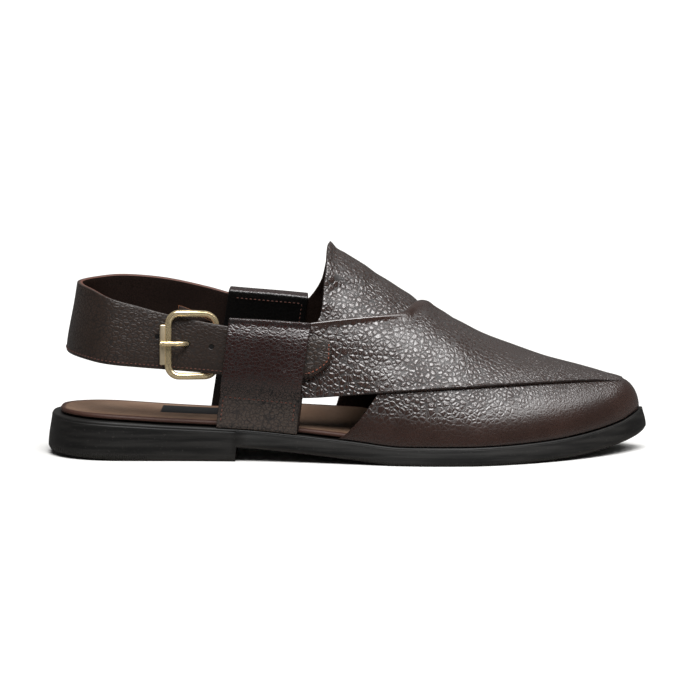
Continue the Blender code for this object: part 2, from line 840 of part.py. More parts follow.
def make_buckle_strap(material):
    """Backing strap that holds the buckle's hidden bar and guards the foot from it."""
    return shell(
        "buckle_strap", 16, 2,
        lambda u, v: guard_point(u, v, 0.0),
        lambda u, v: guard_point(u, v, -LEATHER),
        material,
    )


BAR_OUT = STRAP_INNER + STRAP_THICKNESS + GAP + BUCKLE_WIRE / 2
BAR_IN = STRAP_INNER - GAP - BUCKLE_WIRE / 2


def buckle_depth(at):
    """Centre of the frame wire: outside the strap on the left, behind it on the right."""
    share = smooth(at, BUCKLE_LEFT + 0.03, BUCKLE_RIGHT)
    return lerp(BAR_OUT, BAR_IN, share)


def frame_path(left, right, corner, steps):
    """Rounded rectangle in (place, level), as points on the wall."""
    centres = []
    corners = (
        (left, BUCKLE_BOTTOM, math.pi),
        (right, BUCKLE_BOTTOM, 1.5 * math.pi),
        (right, BUCKLE_TOP, 0.0),
        (left, BUCKLE_TOP, 0.5 * math.pi),
    )
    for k, (at, level, start) in enumerate(corners):
        inward_x = 1 if k in (0, 3) else -1
        inward_z = 1 if k in (0, 1) else -1
        middle_at = at + inward_x * corner / SOLE_LENGTH
        middle_level = level + inward_z * corner
        for step in range(steps + 1):
            angle = start + 0.5 * math.pi * step / steps
            centres.append((
                middle_at + corner * math.cos(angle) / SOLE_LENGTH,
                middle_level + corner * math.sin(angle),
            ))
        ahead_at, ahead_level = corners[(k + 1) % 4][:2]
        if k in (0, 2):
            span = abs(ahead_at - at) - 2 * corner / SOLE_LENGTH
            sign = 1 if ahead_at > at else -1
            for step in (1, 2, 3):
                centres.append((middle_at + sign * span * step / 4, level))
    return centres


def make_buckle_frame(material):
    """Wire frame with the small axle that carries the roller on its outer side."""
    points = [
        wall_offset(run_at(at, -1), level, buckle_depth(at))
        for at, level in frame_path(BUCKLE_LEFT, BUCKLE_RIGHT, BUCKLE_CORNER, 4)
    ]
    ring = tube("frame_ring", points, path_frames(points, True), BUCKLE_WIRE / 2, 10, material, True)
    low, high = roller_levels()
    ear = BUCKLE_LEFT + 0.3 * BUCKLE_WIRE / SOLE_LENGTH
    corner = [(ear, low - 0.0016), (ROLLER_PLACE, low - 0.0016), (ROLLER_PLACE, low)]
    corner += [(ROLLER_PLACE, high), (ROLLER_PLACE, high + 0.0016), (ear, high + 0.0016)]
    line = [wall_offset(run_at(at, -1), level, BAR_OUT) for at, level in corner]
    axle = tube("axle", line, path_frames(line), AXLE_WIRE / 2, 8, material)
    return join_solids("buckle_frame", ring, [axle])


def roller_levels():
    inset = BUCKLE_CORNER - 0.0005
    return BUCKLE_BOTTOM + inset, BUCKLE_TOP - inset


def make_roller(material):
    """Flattened sleeve round the frame's axle."""
    low, high = roller_levels()
    low_end = wall_offset(run_at(ROLLER_PLACE, -1), low + GAP, BAR_OUT)
    high_end = wall_offset(run_at(ROLLER_PLACE, -1), high - GAP, BAR_OUT)
    along = (high_end - low_end).normalized()
    across = Vector((0, 1, 0)).cross(along).normalized()
    facing = along.cross(across)
    points = []
    sides = 20
    for end in (low_end, high_end):
        for half_wide, half_deep in ((0.5 * ROLLER_WIDTH, 0.0013), (AXLE_WIRE / 2 + GAP, AXLE_WIRE / 2 + GAP)):
            for k in range(sides):
                angle = 2 * math.pi * k / sides
                squareness = 0.5 if half_wide > 0.0012 else 1.0
                cosine = math.copysign(abs(math.cos(angle)) ** squareness, math.cos(angle))
                sine = math.copysign(abs(math.sin(angle)) ** squareness, math.sin(angle))
                points.append(end + across * half_wide * cosine + facing * half_deep * sine)
    faces = []
    for k in range(sides):
        nxt = (k + 1) % sides
        faces.append((k, 2 * sides + k, 2 * sides + nxt, nxt))
        faces.append((sides + k, sides + nxt, 3 * sides + nxt, 3 * sides + k))
        faces.append((k, nxt, sides + nxt, sides + k))
        faces.append((2 * sides + k, 3 * sides + k, 3 * sides + nxt, 2 * sides + nxt))
    return make_object("buckle_roller", points, faces, material)


def make_prong(material):
    """Pin from the hidden bar, up through the strap's hole and over the outer bars."""
    over = BAR_OUT + BUCKLE_WIRE / 2 + GAP + PRONG_WIRE / 2
    under = STRAP_INNER - GAP - PRONG_WIRE / 2
    bar_side = BUCKLE_RIGHT - (BUCKLE_WIRE + PRONG_WIRE + 2 * GAP) / 2 / SOLE_LENGTH
    route = [
        (bar_side, under),
        (0.250, under),
        (0.243, under + 0.0006),
        (0.2395, STRAP_INNER + 0.4 * STRAP_THICKNESS),
        (0.2365, STRAP_INNER + 1.1 * STRAP_THICKNESS),
        (0.2320, over - 0.0012),
        (0.2220, over),
        (0.2050, over),
        (ROLLER_PLACE, over - 0.0002),
        (0.1940, over - 0.0003),
    ]
    line = [wall_offset(run_at(at, -1), PRONG_HEIGHT, depth) for at, depth in route]
    return tube("buckle_prong", line, path_frames(line), PRONG_WIRE / 2, 10, material)


def clear_scene():
    for item in list(bpy.data.objects):
        bpy.data.objects.remove(item)


def main():
    clear_scene()
    rubber = make_material("sole_rubber", (0.018, 0.017, 0.016), 0.55)
    sock = make_material("sock_leather", (0.14, 0.085, 0.06), 0.6)
    grain = make_material("grain_leather", (0.035, 0.018, 0.014), 0.42)
    strap_leather = make_material("strap_leather", (0.032, 0.022, 0.017), 0.5)
    loop_leather = make_material("loop_leather", (0.034, 0.015, 0.013), 0.4)
    backing = make_material("backing_leather", (0.05, 0.022, 0.014), 0.55)
    brass = make_material("pale_brass", (0.78, 0.58, 0.33), 0.22, 1.0)
    nickel = make_material("satin_brass", (0.52, 0.44, 0.31), 0.38, 1.0)
    make_outsole(rubber)
    make_insole(sock)
    make_upper(grain)
    make_side_loop("side_loop_lateral", -1, loop_leather)
    make_side_loop("side_loop_medial", 1, loop_leather)
    make_heel_strap(strap_leather)
    make_buckle_strap(backing)
    make_buckle_frame(brass)
    make_roller(nickel)
    make_prong(brass)


main()
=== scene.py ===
# %% [markdown]
# # A peshawari chappal, dressed piece by piece
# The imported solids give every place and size. This lesson lays finer leather,
# rubber, thread and brass over them, and lights them like a plain studio picture.

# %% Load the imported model
import bisect
import functools
import math
import bmesh
import bpy
from mathutils import Matrix, Vector


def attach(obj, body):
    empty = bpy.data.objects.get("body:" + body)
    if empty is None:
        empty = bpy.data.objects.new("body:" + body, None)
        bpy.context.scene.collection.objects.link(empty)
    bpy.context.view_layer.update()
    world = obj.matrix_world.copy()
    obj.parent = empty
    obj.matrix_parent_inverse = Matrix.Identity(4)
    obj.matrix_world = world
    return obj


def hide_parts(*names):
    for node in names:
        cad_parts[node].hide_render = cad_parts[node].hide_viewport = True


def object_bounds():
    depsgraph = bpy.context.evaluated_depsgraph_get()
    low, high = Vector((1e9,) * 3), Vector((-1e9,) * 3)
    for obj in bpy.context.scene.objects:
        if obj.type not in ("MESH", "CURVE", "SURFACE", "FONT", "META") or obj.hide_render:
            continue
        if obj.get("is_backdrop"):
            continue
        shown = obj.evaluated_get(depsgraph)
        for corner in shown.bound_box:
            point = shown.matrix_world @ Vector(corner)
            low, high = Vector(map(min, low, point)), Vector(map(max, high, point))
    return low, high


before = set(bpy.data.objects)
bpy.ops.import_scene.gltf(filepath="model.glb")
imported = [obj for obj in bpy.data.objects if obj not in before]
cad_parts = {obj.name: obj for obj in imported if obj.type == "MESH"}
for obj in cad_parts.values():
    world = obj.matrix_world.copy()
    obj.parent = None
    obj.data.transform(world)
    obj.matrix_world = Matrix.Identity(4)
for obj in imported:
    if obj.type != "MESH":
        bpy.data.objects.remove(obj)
cad_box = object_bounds()
print("nodes:", sorted(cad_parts))

# %% [markdown]
# ## Camera first
# The picture was taken with a long lens from the outer side, seven degrees above
# the floor, so the shoe shows almost no perspective.

# %% Camera
CAMERA_TILT, CAMERA_REACH = math.radians(7), 1.5
AIM_SIDEWAYS, AIM_HEIGHT = 0.0009, 0.051
camera_data = bpy.data.cameras.new("studio_camera")
camera_data.lens = 154
camera_data.sensor_width = 36
camera = bpy.data.objects.new("studio_camera", camera_data)
camera.location = (
    AIM_SIDEWAYS,
    -CAMERA_REACH * math.cos(CAMERA_TILT),
    AIM_HEIGHT + CAMERA_REACH * math.sin(CAMERA_TILT),
)
camera.rotation_euler = (math.radians(90) - CAMERA_TILT, 0, 0)
bpy.context.scene.collection.objects.link(camera)
bpy.context.scene.camera = camera
bpy.context.scene.view_settings.view_transform = "Standard"
print("camera at", tuple(round(v, 3) for v in camera.location))

# %% [markdown]
# ## Named sizes
# A shoemaker works from the sole's length, the ball width and the instep. The same
# named sizes as in the solids place each piece here, so both models agree.

# %% Sizes in metres
SOLE_LENGTH, BALL_WIDTH = 0.301, 0.104
INSTEP_HEIGHT, ANKLE_HEIGHT = 0.094, 0.086
HEEL_LIFT, HEEL_BEVEL, BREAST_RAMP, TOE_SPRING = 0.012, 0.0022, 0.0006, 0.0106
SOLE_SHEET, SOLE_FLARE, SOLE_EDGE = 0.0088, 0.002, 0.0009
INSOLE_THICKNESS, INSOLE_MARGIN, UPPER_MARGIN = 0.0027, 0.0063, 0.0035
LEATHER, LAP, GAP = 0.0018, 0.0003, 0.0003
STRAP_THICKNESS, STRAP_TIP_RADIUS = 0.003, 0.009
STRAP_BACK_INSET, STRAP_BACK_LEAN = 0.0083, 0.0065
LOOP_LINING, LOOP_CORNER = 0.0015, 0.0003
BUCKLE_WIRE, BUCKLE_TOP, BUCKLE_BOTTOM, BUCKLE_CORNER = 0.0027, 0.0716, 0.0418, 0.0055
ROLLER_WIDTH, PRONG_WIRE, PRONG_HEIGHT = 0.0030, 0.0024, 0.0572
STRAP_INNER = LEATHER - LAP + GAP
SLOT_FAR = STRAP_INNER + STRAP_THICKNESS + GAP
BAR_OUT = STRAP_INNER + STRAP_THICKNESS + GAP + BUCKLE_WIRE / 2
BAR_IN = STRAP_INNER - GAP - BUCKLE_WIRE / 2
print("strap lies", round(STRAP_INNER * 1000, 2), "mm off the last")

# %% Places along the sole, as shares of its length from the back
BREAST, HEEL_ARC, HEEL_ROUND, TOE_ROUND = 0.315, 0.13, 0.13, 0.30
BUCKLE_LEFT, BUCKLE_RIGHT, ROLLER_PLACE, PRONG_PLACE = 0.2070, 0.2840, 0.1985, 0.2370
LOOPS = {
    -1: {"rear": 0.2955, "front": 0.4295, "slant": 0.036, "top": "near"},
    1: {"rear": 0.2805, "front": 0.4155, "slant": 0.045, "top": "far"},
}
WING_END, CROSSING, PEAK = 0.352, 0.640, 0.471
TIP_ROUND, BAND_FAN = 0.94, 0.87
BAND_ENDS = {-1: (0.4825, 0.084), 1: (0.470, 0.030)}
LAST_END = 1 - UPPER_MARGIN / SOLE_LENGTH
VAMP_FRONT, STRAP_TIP, STRAP_END = 0.9605, 0.474, 0.42
print("buckle spans", round((BUCKLE_RIGHT - BUCKLE_LEFT) * SOLE_LENGTH * 1000, 1), "mm")

# %% [markdown]
# ## Smooth tables
# Each table is a short list of rows, as on a pattern card: the share of the length
# first, then one value per named column. Between rows the values run smoothly.


# %% Tables of shares
class Table:
    """Rows of shares with named columns, read along a smooth curve."""

    def __init__(self, columns, rows):
        self.at = [row[0] for row in rows]
        self.columns = {name: [row[k] for row in rows] for k, name in enumerate(columns)}

    def slope(self, values, k):
        low, high = max(k - 1, 0), min(k + 1, len(values) - 1)
        return (values[high] - values[low]) / (self.at[high] - self.at[low])

    def read(self, column, at):
        values = self.columns[column]
        if at <= self.at[0]:
            return values[0]
        if at >= self.at[-1]:
            return values[-1]
        k = bisect.bisect_right(self.at, at) - 1
        step = self.at[k + 1] - self.at[k]
        t = (at - self.at[k]) / step
        rise = values[k] * (2 * t**3 - 3 * t**2 + 1) + values[k + 1] * (3 * t**2 - 2 * t**3)
        rise += self.slope(values, k) * step * (t**3 - 2 * t**2 + t)
        return rise + self.slope(values, k + 1) * step * (t**3 - t**2)


PLAN = Table(("at", "lateral", "medial", "centre"), [
    (0.00, 0.335, 0.315, 0.010),
    (0.12, 0.335, 0.315, 0.008),
    (0.25, 0.335, 0.300, 0.004),
    (0.36, 0.352, 0.285, 0.000),
    (0.47, 0.410, 0.340, -0.002),
    (0.58, 0.480, 0.452, 0.000),
    (0.67, 0.500, 0.498, 0.006),
    (0.80, 0.485, 0.485, 0.024),
    (1.00, 0.460, 0.450, 0.090),
])
PROFILE = Table(("at", "heel", "spring", "sheet"), [
    (0.00, 1.00, 0.00, 1.00),
    (0.10, 0.88, 0.00, 1.00),
    (0.20, 0.73, 0.00, 1.00),
    (0.315, 0.59, 0.00, 1.00),
    (0.41, 0.41, 0.00, 1.00),
    (0.50, 0.21, 0.00, 1.00),
    (0.585, 0.00, 0.00, 1.00),
    (0.70, 0.00, 0.00, 1.00),
    (0.80, 0.00, 0.07, 1.02),
    (0.88, 0.00, 0.20, 1.10),
    (0.95, 0.00, 0.53, 1.15),
    (0.98, 0.00, 0.76, 1.28),
    (1.00, 0.00, 1.00, 1.38),
])
SECTIONS = Table(("at", "ridge", "across", "full_width", "full_height"), [
    (0.00, 1.16, 0.05, 2.0, 1.7),
    (0.30, 1.16, 0.05, 2.0, 1.7),
    (0.40, 1.11, 0.055, 1.95, 1.6),
    (0.471, 0.985, 0.06, 1.9, 1.5),
    (0.52, 0.885, 0.06, 1.9, 1.5),
    (0.56, 0.815, 0.06, 1.9, 1.5),
    (0.60, 0.736, 0.065, 1.9, 1.5),
    (0.64, 0.665, 0.07, 1.9, 1.5),
    (0.68, 0.586, 0.07, 1.95, 1.52),
    (0.72, 0.508, 0.08, 2.0, 1.57),
    (0.76, 0.452, 0.09, 2.05, 1.65),
    (0.82, 0.381, 0.10, 2.15, 1.8),
    (0.88, 0.312, 0.10, 2.2, 1.9),
    (0.94, 0.232, 0.10, 2.3, 2.0),
    (1.00, 0.180, 0.10, 2.3, 2.0),
])
print("plan, profile and section tables ready")

# %% Tables of edges
PANEL_EDGES = Table(("at", "low", "band_top", "collar", "throat"), [
    (0.35, 0.340, 0.46, 0.790, 0.672),
    (0.43, 0.335, 0.46, 0.775, 0.716),
    (0.50, 0.352, 0.46, 0.780, 0.738),
    (0.60, 0.376, 0.46, 0.800, 0.756),
    (0.70, 0.386, 0.46, 0.800, 0.790),
    (0.80, 0.388, 0.455, 0.800, 0.790),
    (0.90, 0.381, 0.440, 0.800, 0.790),
    (1.00, 0.362, 0.420, 0.800, 0.790),
])
STRAP = Table(("at", "near_low", "near_high", "far_low", "far_high"), [
    (0.02, 0.590, 0.990, 0.590, 0.990),
    (0.06, 0.574, 0.968, 0.600, 0.995),
    (0.10, 0.553, 0.925, 0.607, 1.000),
    (0.15, 0.537, 0.882, 0.610, 0.995),
    (0.20, 0.523, 0.835, 0.603, 0.975),
    (0.26, 0.506, 0.792, 0.585, 0.930),
    (0.31, 0.490, 0.762, 0.567, 0.885),
    (0.38, 0.480, 0.730, 0.545, 0.860),
    (0.44, 0.475, 0.703, 0.530, 0.830),
    (0.48, 0.475, 0.685, 0.530, 0.820),
])
LOOP_TOP = Table(("at", "near", "far"), [
    (0.28, 0.815, 0.930),
    (0.37, 0.797, 0.905),
    (0.45, 0.772, 0.872),
])
LOOP_SWELL = Table(("rise", "out"), [
    (0.00, 0.00),
    (0.26, 0.04),
    (0.33, 0.32),
    (0.39, 0.80),
    (0.44, 1.00),
    (0.60, 1.00),
    (1.00, 1.00),
])
print("edge tables ready")

# %% [markdown]
# ## The last
# Shoes are made over a wooden last. Here it is a function: give it a place along
# the sole and a turn from the outer feather line over the ridge to the inner one,
# and it gives a point. Pieces are laid a small depth off that surface.


# %% The sole's curves
HEEL_FULLNESS, TOE_FULLNESS = 2.2, 1.6


def smooth(value, low, high):
    share = min(max((value - low) / (high - low), 0.0), 1.0)
    return share * share * (3 - 2 * share)


def lerp(a, b, share):
    return a + (b - a) * share


def between(first, second, share):
    """Place and turn part of the way from one pair to another."""
    return lerp(first[0], second[0], share), lerp(first[1], second[1], share)


def hump(value, middle, width):
    """1 at the middle, falling off softly over the width on both sides."""
    return math.exp(-(((value - middle) / width) ** 2))


def place(at):
    return (at - 0.5) * SOLE_LENGTH


def rounding(at):
    if at < HEEL_ROUND:
        share = min((HEEL_ROUND - at) / HEEL_ROUND, 1.0)
        return (1 - share**HEEL_FULLNESS) ** (1 / HEEL_FULLNESS)
    if at > 1 - TOE_ROUND:
        share = min((at - 1 + TOE_ROUND) / TOE_ROUND, 1.0)
        return (1 - share**TOE_FULLNESS) ** (1 / TOE_FULLNESS)
    return 1.0


def plan(at, side):
    half = PLAN.read("lateral" if side < 0 else "medial", at)
    return BALL_WIDTH * (PLAN.read("centre", at) + side * half * rounding(at))


def underside(at):
    return max(PROFILE.read("heel", at) * HEEL_LIFT + PROFILE.read("spring", at) * TOE_SPRING, 0.0)


def sole_top(at):
    return underside(at) + PROFILE.read("sheet", at) * SOLE_SHEET


def sole_bottom(at):
    ramp = BREAST_RAMP / SOLE_LENGTH
    if at >= BREAST + ramp:
        return underside(at)
    bevel = HEEL_BEVEL * max(1 - at / (0.6 * BREAST), 0.0) ** 1.4
    return bevel if at <= BREAST else underside(at) * (at - BREAST) / ramp


def seat(at):
    return sole_top(at) + GAP


print("sole top at the heel and the toe:", round(sole_top(0) * 1000, 1), round(sole_top(1) * 1000, 1), "mm")


# %% The last's surface
@functools.lru_cache(maxsize=None)
def feather(at, side):
    span = 1 - 2 * UPPER_MARGIN / SOLE_LENGTH
    inner = min(max((at - 0.5) / span + 0.5, 0.0), 1.0)
    return plan(inner, side) - side * UPPER_MARGIN * rounding(inner)


@functools.lru_cache(maxsize=None)
def last_section(at):
    share = min(max((at - TIP_ROUND) / (LAST_END - TIP_ROUND), 0.0), 1.0)
    tip = (1 - share**2.4) ** 0.55
    ridge_y = SECTIONS.read("across", at) * BALL_WIDTH
    height = SECTIONS.read("ridge", at) * INSTEP_HEIGHT * tip + 1e-5
    fullness = 2 / SECTIONS.read("full_width", at), 2 / SECTIONS.read("full_height", at)
    return ridge_y, height, seat(at), fullness


def last_point(at, turn):
    ridge_y, height, base, fullness = last_section(at)
    reach = feather(at, -1 if turn < math.pi / 2 else 1) - ridge_y
    cosine = abs(math.cos(turn)) ** fullness[0]
    sine = max(math.sin(turn), 0.0) ** fullness[1]
    return Vector((place(at), ridge_y + reach * cosine, base + height * sine))


def turn_at_height(at, level, side=-1):
    height, base, fullness = last_section(at)[1:]
    share = min(max((level - base) / height, 0.0), 1.0)
    turn = math.asin(min(share ** (1 / fullness[1]), 1.0))
    return turn if side < 0 else math.pi - turn


def outward(surface, u, v, step):
    along = surface(u + step, v) - surface(u - step, v)
    return along.cross(surface(u, v + step) - surface(u, v - step)).normalized()


def last_offset(at, turn, depth):
    point = last_point(at, turn)
    near_turn = min(max(turn, 0.12), math.pi - 0.12)
    normal = outward(last_point, min(at, LAST_END - 0.0025), near_turn, 0.002)
    normal.z *= smooth(point.z - seat(at), 0.0, 4 * LEATHER)
    return point + normal.normalized() * depth


print("ridge at the peak:", round(last_point(PEAK, math.pi / 2).z * 1000, 1), "mm")


# %% The side wall round the heel
HEEL_RUN, PLACE_PER_RUN, BACK_PLACE = 0.3, 0.5, 0.02


def wall_point(run, level):
    """Point on the wall; run is 0 at the heel's back, below 0 outside and above 0 inside."""
    side = -1 if run < 0 else 1
    if abs(run) >= HEEL_RUN:
        at = HEEL_ARC + (abs(run) - HEEL_RUN) * PLACE_PER_RUN
        return last_point(at, turn_at_height(at, level, side))
    angle = abs(run) / HEEL_RUN * math.pi / 2
    start = last_point(HEEL_ARC, turn_at_height(HEEL_ARC, level, side))
    ridge_y = last_section(HEEL_ARC)[0]
    lean = STRAP_BACK_LEAN * smooth(level, 0.5 * ANKLE_HEIGHT, 1.05 * ANKLE_HEIGHT)
    depth = HEEL_ARC * SOLE_LENGTH - STRAP_BACK_INSET - lean - STRAP_THICKNESS - LEATHER
    across = ridge_y + (start.y - ridge_y) * math.sin(angle)
    return Vector((start.x - depth * math.cos(angle), across, start.z))


def wall_offset(run, level, depth):
    return wall_point(run, level) - outward(wall_point, run, level, 0.002) * depth


def run_at(at, side):
    return side * (HEEL_RUN + (at - HEEL_ARC) / PLACE_PER_RUN)


def near_wall(at, level, depth):
    """Point off the outer side's wall, at a place along the sole."""
    return wall_offset(run_at(at, -1), level, depth)


def at_of_run(run):
    if abs(run) >= HEEL_RUN:
        return HEEL_ARC + (abs(run) - HEEL_RUN) * PLACE_PER_RUN
    return BACK_PLACE + (HEEL_ARC - BACK_PLACE) * (abs(run) / HEEL_RUN) ** 1.6


print("back of the wall at x", round(wall_point(0, 0.8 * ANKLE_HEIGHT).x * 1000, 1), "mm")

# %% [markdown]
# ## Sheets that are cut flat and then laid on
# Leather is cut flat, so each piece starts as a flat sheet in a unit box: x and y
# are shares of the pattern, z is 0 on the grain side and 1 on the flesh side. An
# extrude gives the thickness, and only then is every point laid on the last.


# %% Helpers for sheets
def flat_sheet(long_cells, cross_cells):
    """Unit sheet, extruded to a unit thickness; slots 0 grain side, 1 flesh side, 2 cut edge."""
    work = bmesh.new()
    bmesh.ops.create_grid(work, x_segments=long_cells, y_segments=cross_cells, size=0.5)
    bmesh.ops.translate(work, verts=work.verts, vec=(0.5, 0.5, 0.0))
    made = bmesh.ops.extrude_face_region(work, geom=work.faces[:])
    risen = [part for part in made["geom"] if isinstance(part, bmesh.types.BMVert)]
    bmesh.ops.translate(work, verts=risen, vec=(0, 0, 1))
    for face in work.faces:
        levels = {round(vert.co.z) for vert in face.verts}
        face.material_index = 2 if len(levels) == 2 else levels.pop()
    return work


def open_seam(work):
    """Takes away the two end walls of a sheet that is rolled into a ring."""
    walls = [face for face in work.faces if face.material_index == 2]
    ends = [face for face in walls if len({round(vert.co.y, 5) for vert in face.verts}) == 1]
    bmesh.ops.delete(work, geom=ends, context="FACES_ONLY")


def lay_on(work, mapping):
    """Moves every point from the unit box onto the last, and keeps its shares as attributes."""
    through = work.verts.layers.float.new("through")
    upward = work.verts.layers.float.new("upward")
    along = work.verts.layers.float.new("along")
    for vert in work.verts:
        along_share, up_share, deep = vert.co
        vert[through], vert[upward], vert[along] = deep, up_share, along_share
        vert.co = mapping(along_share, up_share, deep)
    bmesh.ops.remove_doubles(work, verts=work.verts, dist=2e-6)
    bmesh.ops.recalc_face_normals(work, faces=work.faces)


def round_cut_edges(work, size, segments=2):
    edges = [e for e in work.edges if len({f.material_index for f in e.link_faces}) == 2]
    edges = [e for e in edges if 2 in {f.material_index for f in e.link_faces}]
    bmesh.ops.bevel(
        work, geom=edges, offset=size, offset_type="OFFSET", affect="EDGES",
        segments=segments, profile=0.5, material=-1,
    )


def turn_edge_over(work):
    """Gives the cut edge where the y share is 0 the grain side's leather, so that it looks folded."""
    upward = work.verts.layers.float["upward"]
    for face in work.faces:
        if face.material_index == 2 and max(vert[upward] for vert in face.verts) < 1e-4:
            face.material_index = 0


def hand_over(work, name, materials, stands_for=(), subdivide=0):
    """Makes the object, smooths it, lets it ride on the body and hides the imported parts it stands for."""
    if work.calc_volume(signed=True) < 0:
        bmesh.ops.reverse_faces(work, faces=work.faces)
    mesh = bpy.data.meshes.new(name)
    work.to_mesh(mesh)
    work.free()
    mesh.polygons.foreach_set("use_smooth", [True] * len(mesh.polygons))
    made = bpy.data.objects.new(name, mesh)
    bpy.context.scene.collection.objects.link(made)
    for material in materials:
        mesh.materials.append(material)
    if subdivide:
        finer = made.modifiers.new("finer", "SUBSURF")
        finer.levels = finer.render_levels = subdivide
    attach(made, "root")
    if stands_for:
        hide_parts(*stands_for)
    print(name, len(mesh.polygons), "faces")
    return made


print("sheet helpers ready")

# %% [markdown]
# ## Leather grain
# The hide is milled until its surface breaks into pebbles of two to three
# millimetres, with finer grain between. One node group makes the pebbles from two
# cell patterns, slightly bent by noise, and every leather uses it with its own size.


# %% Node helpers
def put(tree, kind, values=None, **settings):
    """Adds a node, with its settings and the values of its sockets."""
    made = tree.nodes.new(kind)
    for name, value in settings.items():
        setattr(made, name, value)
    for name, value in (values or {}).items():
        if isinstance(value, bpy.types.NodeSocket):
            tree.links.new(value, made.inputs[name])
        else:
            made.inputs[name].default_value = value
    return made


def maths(tree, operation, first, second=0.0, clamp=False):
    return put(tree, "ShaderNodeMath", {0: first, 1: second}, operation=operation, use_clamp=clamp).outputs[0]


def ranged(tree, value, low, high, to_low=0.0, to_high=1.0):
    values = {"Value": value, "From Min": low, "From Max": high, "To Min": to_low, "To Max": to_high}
    return put(tree, "ShaderNodeMapRange", values, interpolation_type="SMOOTHSTEP").outputs["Result"]


def blend(tree, share, first, second, mode="MIX"):
    made = tree.nodes.new("ShaderNodeMix")
    made.data_type = "RGBA"
    made.blend_type = mode
    for socket, value in ((made.inputs[0], share), (made.inputs[6], first), (made.inputs[7], second)):
        if isinstance(value, bpy.types.NodeSocket):
            tree.links.new(value, socket)
        else:
            socket.default_value = value if socket.name == "Factor" else (*value, 1.0)
    return made.outputs[2]


def object_spot(tree):
    return put(tree, "ShaderNodeTexCoord").outputs["Object"]


def object_parts(tree):
    """The object's own X, Y and Z as separate sockets."""
    return put(tree, "ShaderNodeSeparateXYZ", {0: object_spot(tree)}).outputs


def noise_at(tree, spot, scale, detail, result="Fac"):
    values = {"Vector": spot, "Scale": scale, "Detail": detail}
    return put(tree, "ShaderNodeTexNoise", values).outputs[result]


def attribute(tree, name):
    return put(tree, "ShaderNodeAttribute", attribute_name=name).outputs["Fac"]


def raise_surface(tree, shader, height, distance):
    """Turns a height into the shader's bump."""
    bump = put(tree, "ShaderNodeBump", {"Height": height, "Distance": distance})
    tree.links.new(bump.outputs[0], shader.inputs["Normal"])


def new_group(name, inputs, outputs):
    tree = bpy.data.node_groups.new(name, "ShaderNodeTree")
    for label, kind, value in inputs:
        socket = tree.interface.new_socket(label, in_out="INPUT", socket_type=kind)
        socket.default_value = value
    for label, kind in outputs:
        tree.interface.new_socket(label, in_out="OUTPUT", socket_type=kind)
    return tree, tree.nodes.new("NodeGroupInput"), tree.nodes.new("NodeGroupOutput")


print("node helpers ready")


# %% The pebbled grain group
def make_grain_group():
    number, vector = "NodeSocketFloat", "NodeSocketVector"
    tree, given, result = new_group(
        "pebbled_grain",
        [("Vector", vector, (0, 0, 0)), ("Pebbles per Metre", number, 450.0), ("Bend", number, 0.0012)],
        [("Height", number), ("Crease", number), ("Patch", number)],
    )
    noise = noise_at(tree, given.outputs["Vector"], 260.0, 2.0, "Color")
    values = {0: noise, 1: (0.5, 0.5, 0.5)}
    centred = put(tree, "ShaderNodeVectorMath", values, operation="SUBTRACT").outputs[0]
    values = {0: centred, "Scale": given.outputs["Bend"]}
    bent = put(tree, "ShaderNodeVectorMath", values, operation="SCALE").outputs[0]
    values = {0: given.outputs["Vector"], 1: bent}
    spot = put(tree, "ShaderNodeVectorMath", values, operation="ADD").outputs[0]
    heights, edges = [], []
    for finer, reach in ((1.0, 0.32), (2.6, 0.30)):
        scale = maths(tree, "MULTIPLY", given.outputs["Pebbles per Metre"], finer)
        values = {"Vector": spot, "Scale": scale}
        cells = put(tree, "ShaderNodeTexVoronoi", values, feature="DISTANCE_TO_EDGE").outputs["Distance"]
        heights.append(maths(tree, "POWER", ranged(tree, cells, 0.0, reach), 0.75))
        edges.append(ranged(tree, cells, 0.01, 0.13, 1.0, 0.0))
    patch = noise_at(tree, given.outputs["Vector"], 45.0, 3.0)
    strength = ranged(tree, patch, 0.30, 0.70, 0.55, 1.0)
    coarse = maths(tree, "MULTIPLY", heights[0], strength)
    fine = maths(tree, "MULTIPLY", heights[1], 0.12)
    tree.links.new(maths(tree, "ADD", coarse, fine), result.inputs["Height"])
    tree.links.new(maths(tree, "MULTIPLY", edges[0], strength), result.inputs["Crease"])
    tree.links.new(patch, result.inputs["Patch"])
    return tree


GRAIN = make_grain_group()
print("group", GRAIN.name, "ready")


# %% Leather materials
def start_material(name):
    made = bpy.data.materials.new(name)
    made.use_nodes = True
    tree = made.node_tree
    return made, tree, tree.nodes["Principled BSDF"]


def grain_of(tree, per_metre, bend=0.0012, stretch=(1, 1, 1), turn=(0, 0, 0)):
    turned = put(tree, "ShaderNodeMapping", {"Vector": object_spot(tree), "Rotation": turn, "Scale": stretch})
    values = {"Vector": turned.outputs[0], "Pebbles per Metre": per_metre, "Bend": bend}
    made = tree.nodes.new("ShaderNodeGroup")
    made.node_tree = GRAIN
    for label, value in values.items():
        if isinstance(value, bpy.types.NodeSocket):
            tree.links.new(value, made.inputs[label])
        else:
            made.inputs[label].default_value = value
    return made


